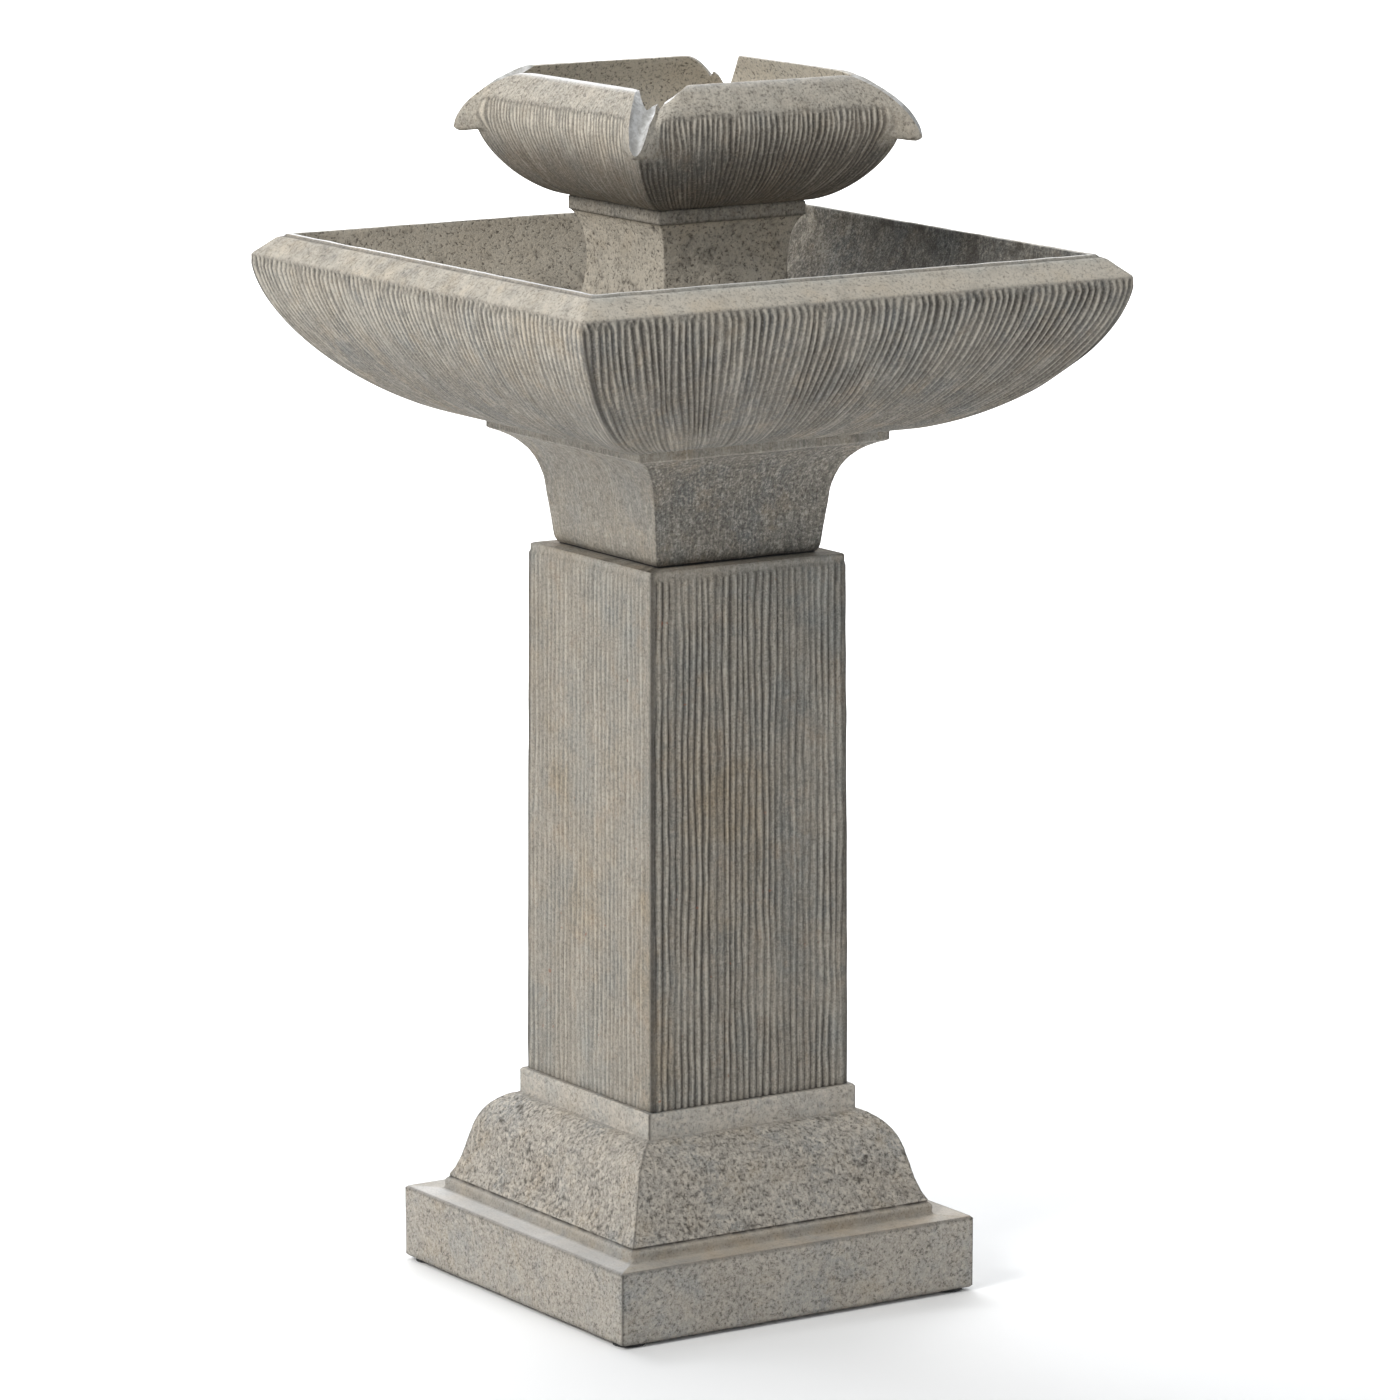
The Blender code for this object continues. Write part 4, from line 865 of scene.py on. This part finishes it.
def neck_face(at):
    """The hammered neck, darker at its foot, with a painted shadow under the collar and a painted cool shade
    low down, strongest on the -Y side.
    """
    lift, found = rough_face(0.5 * MM, 0.8, 0.8, 0.0033, 81, 0.45)(at)
    found["relief"] = 0.52 + 0.45 * (found["relief"] - 0.55)
    found["pale"] = at.sides(0, 0.1, 0.1, 0.25)
    found["hammer"] = at.sides(0.8, 0.7, 0.7, 0.4)
    # Painted cool shade on the lower neck under the basin, strongest on the -Y side.
    found["tint"] = at.sides(-0.35, -0.2, -0.2, 0.05) * smooth(0.575 - at.z, 0.0, 0.04)
    darken(found, at.sides(0, 0, 0, 0.04))
    # Painted shadow: a dark line under the collar.
    under = near(at.z - NECK_SHADOW_Z, 0.0013) * 0.45
    foot = near(at.z - NECK_BOTTOM, 0.0022) * 0.45
    darken(found, under + foot)
    return lift, found


def build_basin():
    coarse = BASIN_COLUMNS // 4
    floor = [(0.01, BASIN_FLOOR), (0.085, BASIN_FLOOR)]
    walls = bulge((0.085, BASIN_FLOOR), (BASIN_LIP_HALF, BASIN_RIM - 0.0008), 0.0034)
    lip = resample([tuple(walls[-1]), (BASIN_LIP_HALF + 0.0008, BASIN_RIM),
                    (BASIN_LIP_HALF + 0.0042, BASIN_RIM), (BASIN_LIP_HALF + 0.0056, BASIN_RIM - 0.0012),
                    (BASIN_LIP_HALF + 0.009, BASIN_RIM - 0.0027), (BASIN_HALF - 0.0012, BASIN_BAND_FOOT)],
                   0.0016)
    flank = bulge((NECK_TOP_HALF, NECK_TOP_Z), (BASIN_HALF - 0.0004, BASIN_WIDE_Z), 0.0048)[::-1]
    top = [tuple(lip[-1]), (BASIN_HALF - 0.0004, 0.7056), tuple(flank[0])]
    collar = resample([tuple(flank[-1]), (NECK_TOP_HALF, 0.5912), (NECK_TOP_HALF - 0.0014, 0.59)], 0.0014)
    neck = curve([(0.0985, 0.59), (0.0935, 0.5884), (0.0862, 0.5842), (0.0802, 0.5782), (0.0763, 0.572),
                  (0.0731, 0.564), (0.0708, 0.555), (0.0686, 0.536), (0.0665, 0.5185),
                  (NECK_HALF, NECK_BOTTOM)], 0.0015)
    spigot, wall = 0.046, 0.008
    hollow = [(NECK_HALF, NECK_BOTTOM), (spigot, NECK_BOTTOM), (spigot, BASIN_FOOT),
              (spigot - wall, BASIN_FOOT), (spigot - wall, NECK_BOTTOM), (0.052, 0.536), (0.054, 0.56),
              (0.062, 0.58), (0.066, 0.6), (0.008, 0.6)]
    collar = np.concatenate([collar, neck[:1]])
    zones = [
        Zone(resample(floor, 0.006), coarse // 3, rough_face(0.5 * MM, 0.8, 1.0, 0.006, 91)),
        Zone(walls, coarse, basin_inside, 0.006),
        Zone(lip, coarse, basin_rim, 0.003),
        Zone(resample(top, 0.0013), BASIN_COLUMNS, combed_basin_top, 0.003),
        Zone(flank, BASIN_COLUMNS, combed_basin, 0.003),
        Zone(collar, coarse, plain_face(0.42, 0.0, 0.4, 0.3, 76), 0.002),
        Zone(neck, coarse, neck_face, 0.0016),
        Zone(resample(hollow, 0.02), coarse // 6, plain_face(0.1)),
    ]
    return casting("basin_casting", zones, "basin", BASIN_LOOK, True)


def combed_basin_top(at):
    """The rounded tops of the ridges, where the plain band turns down into the flank."""
    cycles = basin_cycles(at)
    ridge = comb(cycles, 1.1)
    sizes = each_ridge(cycles + 0.5, at.side, 77)
    turned = smooth(at.v, 0.25, 1.0)
    found = {"relief": 0.66 + 0.25 * ridge * turned, "hammer": 0.5, "pale": 0.5 * (1 - turned)}
    found["wash_and_painted_shade"] = np.clip((1 - ridge) ** 0.8 * turned * (0.35 + 0.45 * sizes), 0, 0.9)
    return (-0.9 * (1 - ridge) * turned) * MM, found


# ---- stem casting
STEM_COLUMNS = 90
STEM_COLLAR_HALF = 0.0585
STEM_PLATE_UNDER = 0.742
STEM_FOOT_HALF = 0.068
TRAY_HALF = high("intake_tray").x + 0.0004
TRAY_TOP = high("intake_tray").z + 0.0004


def collar_face(at):
    lift, found = plain_face(0.5, 0.05, 0.7, 0.3, 101)(at)
    line = near(at.z - STEM_PLATE_UNDER - 0.0004, 0.001)
    darken(found, 0.5 * line)
    return lift, found


def build_stem():
    collar = resample([(STEM_COLLAR_HALF - 0.001, STEM_TOP), (STEM_COLLAR_HALF, STEM_TOP - 0.001),
                       (STEM_COLLAR_HALF, STEM_PLATE_UNDER + 0.0006), (0.0574, STEM_PLATE_UNDER)], 0.0013)
    spool = curve([(0.0574, STEM_PLATE_UNDER), (0.055, 0.7385), (0.052, 0.731), (0.0502, 0.72),
                   (0.0498, 0.709), (0.0506, 0.698), (0.0526, 0.686), (0.056, 0.669),
                   (0.06, 0.65), (0.064, 0.635), (STEM_FOOT_HALF, 0.626)], 0.0013)
    foot = resample([(STEM_FOOT_HALF, 0.626), (STEM_FOOT_HALF, STEM_FOOT)], 0.002)
    inside = [(STEM_FOOT_HALF, STEM_FOOT), (TRAY_HALF, STEM_FOOT), (TRAY_HALF, TRAY_TOP), (0.047, TRAY_TOP),
              (0.047, 0.64), (0.04, 0.68), (0.04, STEM_PLATE_UNDER), (CENTRE_HALF, STEM_PLATE_UNDER)]

    zones = [
        Zone([(CENTRE_HALF, STEM_TOP), (STEM_COLLAR_HALF - 0.001, STEM_TOP)], STEM_COLUMNS // 3,
             plain_face(0.1)),
        Zone(collar, STEM_COLUMNS, collar_face, 0.0014),
        Zone(spool, STEM_COLUMNS, stem_face, 0.0018),
        Zone(foot, STEM_COLUMNS, rough_face(0.4 * MM, 0.8, 1.0, 0.0034, 103)),
        Zone(resample(inside, 0.012), STEM_COLUMNS // 3, plain_face(0.1)),
    ]
    below, above = STEM_PLATE_UNDER - 0.005, STEM_TOP + 0.005
    cutters = [
        round_cutter("stem_bulkhead_hole", [(0, 0)], BULKHEAD_HOLE, below, above),
        round_cutter("stem_lead_hole", [middle_of("panel_lead")], 0.0045, below, above),
        cutter_from("stem_foot_drains", drain_slots),
    ]
    return casting("stem_casting", zones, "top_tier", BASIN_LOOK, True, cutters)


def stem_face(at):
    """The hammered spool under the bowl, pale on the -X side."""
    lift, found = rough_face(0.75 * MM, 1.0, 1.0, 0.0032, 102, 0.2)(at)
    found["pale"] = at.sides(0.74, 0.5, 0.5, 0.95) * (1 + 0.4 * noise(at.p, 0.016, 104))
    found["relief"] = 0.24 + 0.7 * found["relief"]
    found["tint"] = at.sides(0, 0, 0, 0.05)
    return lift, found


def drain_slots(shape):
    """Low slots under the stem's foot that let the water in to the pump: one box across each way."""
    reach, half, lift = STEM_FOOT_HALF + 0.01, 0.018, 0.0028
    for size_x, size_y in ((2 * reach, 2 * half), (2 * half, 2 * reach)):
        size = Matrix.Diagonal((size_x, size_y, 0.02 + (0.0001 if size_x > size_y else 0), 1.0))
        place = Matrix.Translation((0, 0, STEM_FOOT + lift - 0.01))
        bmesh.ops.create_cube(shape, size=1.0, matrix=place @ size)


# ---- top bowl
BOWL_RIDGES = 50
BOWL_COLUMNS = 250
BOWL_FLOOR = 0.762
BOWL_BOTTOM_HALF = 0.0577
BOWL_WIDE_HALF = 0.106
BOWL_WIDE_Z = 0.808
BEAK_END_Z = 0.7955
BEAK = [(0.0905, 0.838), (0.0958, 0.835), (0.1031, 0.8265), (0.1104, 0.816), (0.1143, 0.8081),
        (0.1163, 0.7994), (0.1129, 0.7939), (0.1057, 0.795)]
BEAK_WIDTH = 0.024
BEAK_ROUND = 0.0115
SPOUT_SHIFTS = ((-0.0022, 0), (0, 0.002), (0, 0.006), (0, 0.002))  # aside and deeper, a corner each


def spread(points, count):
    """count points evenly spaced along a polyline."""
    points = np.asarray(points, float)
    along = np.concatenate([[0], np.cumsum(np.linalg.norm(np.diff(points, axis=0), axis=1))])
    wanted = np.linspace(0, along[-1], count)
    return np.stack([np.interp(wanted, along, points[:, i]) for i in range(2)], 1)


def beak_share(at):
    """1 at a corner and 0 a beak's width away from it, by distance along the face."""
    gap = (1 - np.abs(at.t)) * at.half
    return 1 - smooth(gap, 0.0, BEAK_WIDTH)


def rim_drop(at, top):
    """How far the rim curls down beside each notch: early at a face's left end, and late at its right."""
    from_left = (1 + at.t) * at.half
    from_right = (1 - at.t) * at.half
    left = 0.033 * np.clip(1 - from_left / 0.034, 0, 1) ** 2.1 * at.sides(1, 0.2, 1, 0.2)
    right = 0.0012 * (1 - smooth(from_right, 0.004, 0.016))
    return (left + right + at.sides(0, 0, 0, 0.002)) * top


def curl_ramp(z):
    """The share of the rim's curl that a point takes, by its height, so that the wall never folds over."""
    return np.clip(1 - (BOWL_TOP - z) / 0.042, 0, 1)


def beak_shape(at):
    """Bends the upper outside towards the beak's outline at the corners, and curls the rim down."""
    share = beak_share(at)
    corner_line = spread(curve(BEAK, 0.001), at.half.shape[0])
    drop = rim_drop(at, curl_ramp(at.z)) * (1 - smooth(share, 0.55, 1.0))
    at.half = at.half + (corner_line[:, 0][:, None, None] - at.half) * share
    at.z = at.z + (corner_line[:, 1][:, None, None] - at.z) * share - drop
    wide = BEAK_ROUND * np.sin(np.clip(at.v * 1.25, 0, 1) * math.pi) ** 0.6
    at.corner = 0.0022 + (wide - 0.0022).clip(0) * share
    at.half = at.half + (at.corner - 0.0022) * (1 - math.sqrt(0.5)) * share


def inner_rim_shape(at):
    """Lowers the inner edge of the rim with the outer one."""
    at.z = at.z - rim_drop(at, curl_ramp(at.z)) * (1 - smooth(beak_share(at), 0.55, 1.0))


def combed_bowl(at):
    """Fine ridges that fan out from the bowl's foot and stop at the plain band and the beaks."""
    across = np.stack([at.t * BOWL_WIDE_HALF, at.side * 3.0, at.z], -1)
    wander = 0.34 * noise(across, (0.01, 1, 0.024), 111) + 0.2 * noise(across, (0.005, 1, 0.01), 112)
    cycles = at.t * BOWL_RIDGES / 2 + wander
    sizes = each_ridge(cycles, at.side, 113)
    ridge = comb(cycles, 1.35)
    patchy = 0.8 + 0.2 * noise(across, (0.018, 1, 0.018), 114)
    low_fade = 1 - 0.18 * smooth(BOWL_WIDE_Z - at.z, 0.02, 0.05)
    gap = (1 - np.abs(at.t)) * at.half
    band_foot = 0.8195 - 0.01 * (1 - smooth(gap, 0.004, 0.02)) - 0.0022 * sizes
    below_beak = smooth(0.7945 - at.z, 0.0, 0.006)
    begun = smooth(band_foot - at.z, 0.0, 0.0022) * np.maximum(smooth(gap, 0.01, 0.019), below_beak)
    deep = patchy * low_fade * (0.65 + 0.35 * sizes) * begun * at.sides(*COMB_DEPTH)
    lift = (0.35 * begun - 1.2 * (1 - ridge) * deep) * MM
    # Painted shade under the bowl's widest point, deepest on the -Y side: the relief, and with it the
    # colour, goes darker there.
    shade = 1 - 0.5 * smooth(BOWL_WIDE_Z - at.z, -0.006, 0.04) * at.sides(1, 0.8, 0.8, 0.7)
    relief = 0.6 * (1 - begun) + begun * (0.98 - 1.15 * (1 - ridge) * deep) * shade
    dots = near(at.z - band_foot, 0.0011) * (1 - ridge) ** 0.5 * smooth(gap, 0.01, 0.019)
    line = edge_line(at, 0.001) * (at.z < BEAK_END_Z)
    found = {"relief": relief, "hammer": 0.45 * (1 - begun) + 0.2}
    found["wash_and_painted_shade"] = np.clip(0.75 * dots + 0.5 * line, 0, 0.9)
    band = np.clip(at.sides(0.6, 0.5, 0.5, 0.46) + 0.16 * noise(at.p, 0.008, 115), 0, 1)
    crests = begun * at.sides(0, 0.03, 0.03, 0.12) * (1 - smooth(0.8 - at.z, 0, 0.02))
    found["pale"] = (1 - begun) * band * smooth(at.z, 0.785, 0.8) + crests
    # Painted highlight along the top edge of the band, strongest on the -X side.
    top_edge = smooth(at.z, BOWL_TOP - 0.0045, BOWL_TOP - 0.0015)
    found["gloss_and_painted_highlight"] = top_edge * at.sides(0.1, 0.2, 0.2, 0.75)
    return lift, found


def rim_top(at):
    """The narrow flat of the rim, with a glossy painted highlight that is strongest on the -X side."""
    lift, found = plain_face(0.8, 0.0, 0.2, 0.0, 116)(at)
    found["gloss_and_painted_highlight"] = at.sides(0.2, 0.25, 0.2, 0.75)
    return lift * 0.4, found


def bowl_inside(at):
    """The pale hammered inside of the bowl."""
    lift, found = rough_face(0.55 * MM, 0.8, 0.9, 0.003, 122, 0.0)(at)
    found["relief"] = 0.54 + 0.42 * found["relief"]
    found["pale"] = 0.96 + 0.12 * noise(at.p, 0.012, 123)
    return lift, found


def channel_floor(shape):
    """Four smooth spout channels along the plan diagonals, each a loft of rounded V sections."""
    stations = np.array([(0.07, 0.844, 0.829, 0.0165), (0.08, 0.842, 0.827, 0.015),
                         (0.0885, 0.8372, 0.825, 0.0132), (0.0945, 0.8345, 0.8196, 0.0112),
                         (0.101, 0.8272, 0.813, 0.0096), (0.1075, 0.8175, 0.806, 0.0082),
                         (0.1118, 0.8085, 0.8, 0.0064), (0.115, 0.801, 0.7955, 0.005),
                         (0.125, 0.796, 0.785, 0.0046)])
    at = np.linspace(0, len(stations) - 1, 30)
    lines_of = [np.interp(at, range(len(stations)), stations[:, i]) for i in range(4)]
    slant = math.sqrt(0.5)
    shares = np.linspace(-1, 1, 15)
    for (sign_x, sign_y), (aside, deeper) in zip(corners(1.0), SPOUT_SHIFTS):
        rings = []
        for reach, top, floor, half in zip(*lines_of):
            floor = floor - deeper * (1 - smooth(reach, 0.095, 0.112))
            wider = 2.2 * abs(aside) * (1 - smooth(reach, 0.086, 0.104))
            middle, half = aside - wider, half + wider
            section = [(middle + half * s, floor + (top - floor) * abs(s) ** 1.55) for s in shares]
            section += [(middle + half + 0.0006, top + 0.03), (middle - half - 0.0006, top + 0.03)]
            rings.append([shape.verts.new((sign_x * (reach + a * slant), sign_y * (reach - a * slant), z))
                          for a, z in section])
        for first, second in zip(rings, rings[1:]):
            for i in range(len(first)):
                j = (i + 1) % len(first)
                shape.faces.new((first[i], first[j], second[j], second[i]))
        shape.faces.new(rings[0])
        shape.faces.new(rings[-1])


def build_bowl():
    coarse = BOWL_COLUMNS // 2
    inner_edge = (0.0858, BOWL_TOP - 0.0004)
    inside = curve([(0.06, BOWL_FLOOR), (0.071, 0.768), (0.081, 0.777), (0.0895, 0.789),
                    (0.095, 0.802), (0.0955, 0.812), (0.093, 0.824), inner_edge], 0.0022)
    rim = resample([inner_edge, (0.0868, BOWL_TOP), (0.0895, BOWL_TOP), (0.0905, BOWL_TOP - 0.0006)], 0.0012)
    flank = bulge((BOWL_BOTTOM_HALF, BOWL_FOOT), (BOWL_WIDE_HALF, BOWL_WIDE_Z), 0.0019)[::-1]
    upper = flank[flank[:, 1] > BEAK_END_Z]
    lower = np.concatenate([upper[-1:], flank[flank[:, 1] <= BEAK_END_Z]])
    band = curve([(0.0905, BOWL_TOP - 0.0006), (0.0935, 0.8352), (0.1, 0.8275), (0.1038, 0.822),
                  (0.1054, 0.817), tuple(upper[0])], 0.0015)
    outside = np.concatenate([band, upper[1:]])
    zones = [
        Zone(resample([(CENTRE_HALF, BOWL_FLOOR), (0.06, BOWL_FLOOR)], 0.009), coarse // 5,
             rough_face(0.3 * MM, seed=121)),
        Zone(inside, coarse, bowl_inside, 0.004, inner_rim_shape),
        Zone(rim, coarse, rim_top, 0.0022, inner_rim_shape),
        Zone(outside, BOWL_COLUMNS, combed_bowl, 0.0022, beak_shape),
        Zone(lower, BOWL_COLUMNS, combed_bowl, 0.0022),
        Zone(resample([tuple(lower[-1]), (CENTRE_HALF, BOWL_FOOT)], 0.012), coarse // 5, plain_face(0.1)),
    ]
    below, above = BOWL_FOOT - 0.005, BOWL_FLOOR + 0.005
    cutters = [
        cutter_from("spout_channels", channel_floor, 1),
        round_cutter("bowl_bulkhead_hole", [(0, 0)], BULKHEAD_HOLE, below, above),
        round_cutter("bowl_lead_hole", [middle_of("lead_grommet")], 0.0054, below, above),
    ]
    return casting("top_bowl", zones, "top_tier", BOWL_LOOK, True, cutters, CHANNEL_LOOK)


# ---- small parts keep their CAD shapes
MOULDED = {
    "black_rubber": ((0.022, 0.022, 0.023), (0.045, 0.044, 0.042), 0.74, 900, 0.00012),
    "pump_plastic": ((0.022, 0.025, 0.03), (0.04, 0.043, 0.048), 0.48),
    "grey_plastic": ((0.165, 0.175, 0.185), (0.225, 0.235, 0.245), 0.44),
    "lead_jacket": ((0.018, 0.018, 0.02), (0.034, 0.034, 0.036), 0.55),
    "hose_vinyl": ((0.5, 0.54, 0.5), (0.62, 0.64, 0.58), 0.26, 500, 0.00005),
    "ceramic_shaft": ((0.78, 0.77, 0.73), (0.88, 0.87, 0.84), 0.22, 1800, 0.00002),
    "ferrite_magnet": ((0.05, 0.05, 0.056), (0.095, 0.092, 0.092), 0.5, 1600, 0.00006),
}
PLATED = {
    "zinc_steel": ((0.62, 0.62, 0.6), (0.5, 0.46, 0.38), 0.34, (500, 500, 40)),
    "stainless_screw": ((0.68, 0.68, 0.67), (0.55, 0.54, 0.52), 0.28, (60, 60, 700)),
}


def finish_small_parts():
    looks = {name: moulded(name, *values) for name, values in MOULDED.items()}
    looks |= {name: plated(name, *values) for name, values in PLATED.items()}
    looks |= {"stator_lamination": laminated(), "solar_cells": solar_cells()}
    looks |= {"clear_window": window(), "cell_wrap": cell_wrap()}
    for part in frame["record"]["subparts"]:
        obj = frame["nodes"][part["node"]]
        look = looks.get(part["material_slot"])
        if not look:
            continue
        obj.data.materials.clear()
        obj.data.materials.append(look)


# ---- stage, lights and camera
def pale_floor():
    g = Graph("studio_floor")
    g.colour = g.mix(g.span(g.cloud(3, 2), 0.3, 0.7), (0.93, 0.93, 0.93), (0.95, 0.95, 0.95))
    return g.finish(Roughness=g.gloss(40, 0.8, 0.9))


def build_stage():
    """A pale floor that curves up into a backdrop, as one sheet."""
    depth, rise, width = 5.0, 4.0, 9.0
    bend = 1.6
    line = [(-depth, 0.0), (depth - bend, 0.0)]
    for i in range(1, 13):
        angle = i / 12 * math.pi / 2
        line.append((depth - bend + bend * math.sin(angle), bend * (1 - math.cos(angle))))
    line.append((depth, rise))
    points = [(x, y, z) for y, z in line for x in (-width, width)]
    faces = [(2 * i, 2 * i + 1, 2 * i + 3, 2 * i + 2) for i in range(len(line) - 1)]
    mesh = bpy.data.meshes.new("studio_floor")
    mesh.from_pydata(points, [], faces)
    mesh.materials.append(pale_floor())
    mesh.shade_smooth()
    floor = bpy.data.objects.new("studio_floor", mesh)
    floor.rotation_euler = (0, 0, CAMERA_AZIMUTH)
    bpy.context.scene.collection.objects.link(floor)


def area_light(name, place, target, size, power, colour=(1.0, 1.0, 1.0)):
    lamp = bpy.data.lights.new(name, "AREA")
    lamp.shape = "RECTANGLE"
    lamp.size, lamp.size_y = size
    lamp.energy = power
    lamp.color = colour
    obj = bpy.data.objects.new(name, lamp)
    obj.location = place
    obj.rotation_euler = (Vector(target) - Vector(place)).to_track_quat("-Z", "Y").to_euler()
    bpy.context.scene.collection.objects.link(obj)


KEY_POWER = 66
SKY_POWER = 34
BACKDROP_POWER = 230
WORLD_STRENGTH = 0.5
CAMERA_AZIMUTH = math.radians(-32.81)
CAMERA_ELEVATION = math.radians(10.51)
CAMERA_DISTANCE = 4.94
CAMERA_LENS = 185.37
TARGET_HEIGHT = 0.406
TARGET_RIGHT = 0.0091


def build_camera():
    lens = bpy.data.cameras.new("camera")
    lens.sensor_width = 36
    lens.lens = CAMERA_LENS
    lens.clip_end = 60
    camera = bpy.data.objects.new("camera", lens)
    az, el = CAMERA_AZIMUTH, CAMERA_ELEVATION
    back = Vector((math.sin(az) * math.cos(el), -math.cos(az) * math.cos(el), math.sin(el)))
    right = Vector((math.cos(az), math.sin(az), 0))
    target = right * TARGET_RIGHT + Vector((0, 0, TARGET_HEIGHT))
    camera.location = target + back * CAMERA_DISTANCE
    camera.rotation_euler = Matrix((right, back.cross(right), back)).transposed().to_euler()
    bpy.context.scene.collection.objects.link(camera)
    bpy.context.scene.camera = camera


def from_camera(right, forward, up):
    """A point given by its distances to the camera's right, away from the camera, and up."""
    az = CAMERA_AZIMUTH
    return (math.cos(az) * right - math.sin(az) * forward, math.sin(az) * right + math.cos(az) * forward, up)


def build_lights():
    middle = (0, 0, 0.45)
    area_light("key", from_camera(-2.05, -2.0, 2.45), middle, (1.1, 1.1), KEY_POWER,
               (1.0, 0.985, 0.955))
    area_light("sky", from_camera(-0.9, 1.6, 2.9), middle, (2.0, 1.6), SKY_POWER,
               (0.93, 0.96, 1.0))
    area_light("backdrop", from_camera(0, 2.6, 3.4), from_camera(0, 4.6, 0.9), (5.0, 1.5), BACKDROP_POWER)
    world = bpy.data.worlds.new("studio")
    world.use_nodes = True
    background = world.node_tree.nodes["Background"]
    background.inputs["Color"].default_value = (0.94, 0.97, 1.0, 1.0)
    background.inputs["Strength"].default_value = WORLD_STRENGTH
    bpy.context.scene.world = world
    bpy.context.scene.view_settings.view_transform = "Standard"


for leftover in ("Cube", "Light", "Camera"):
    if leftover in bpy.data.objects:
        bpy.data.objects.remove(bpy.data.objects[leftover], do_unlink=True)

build_camera()
build_base()
build_column()
build_basin()
build_stem()
build_bowl()
finish_small_parts()
build_stage()
build_lights()
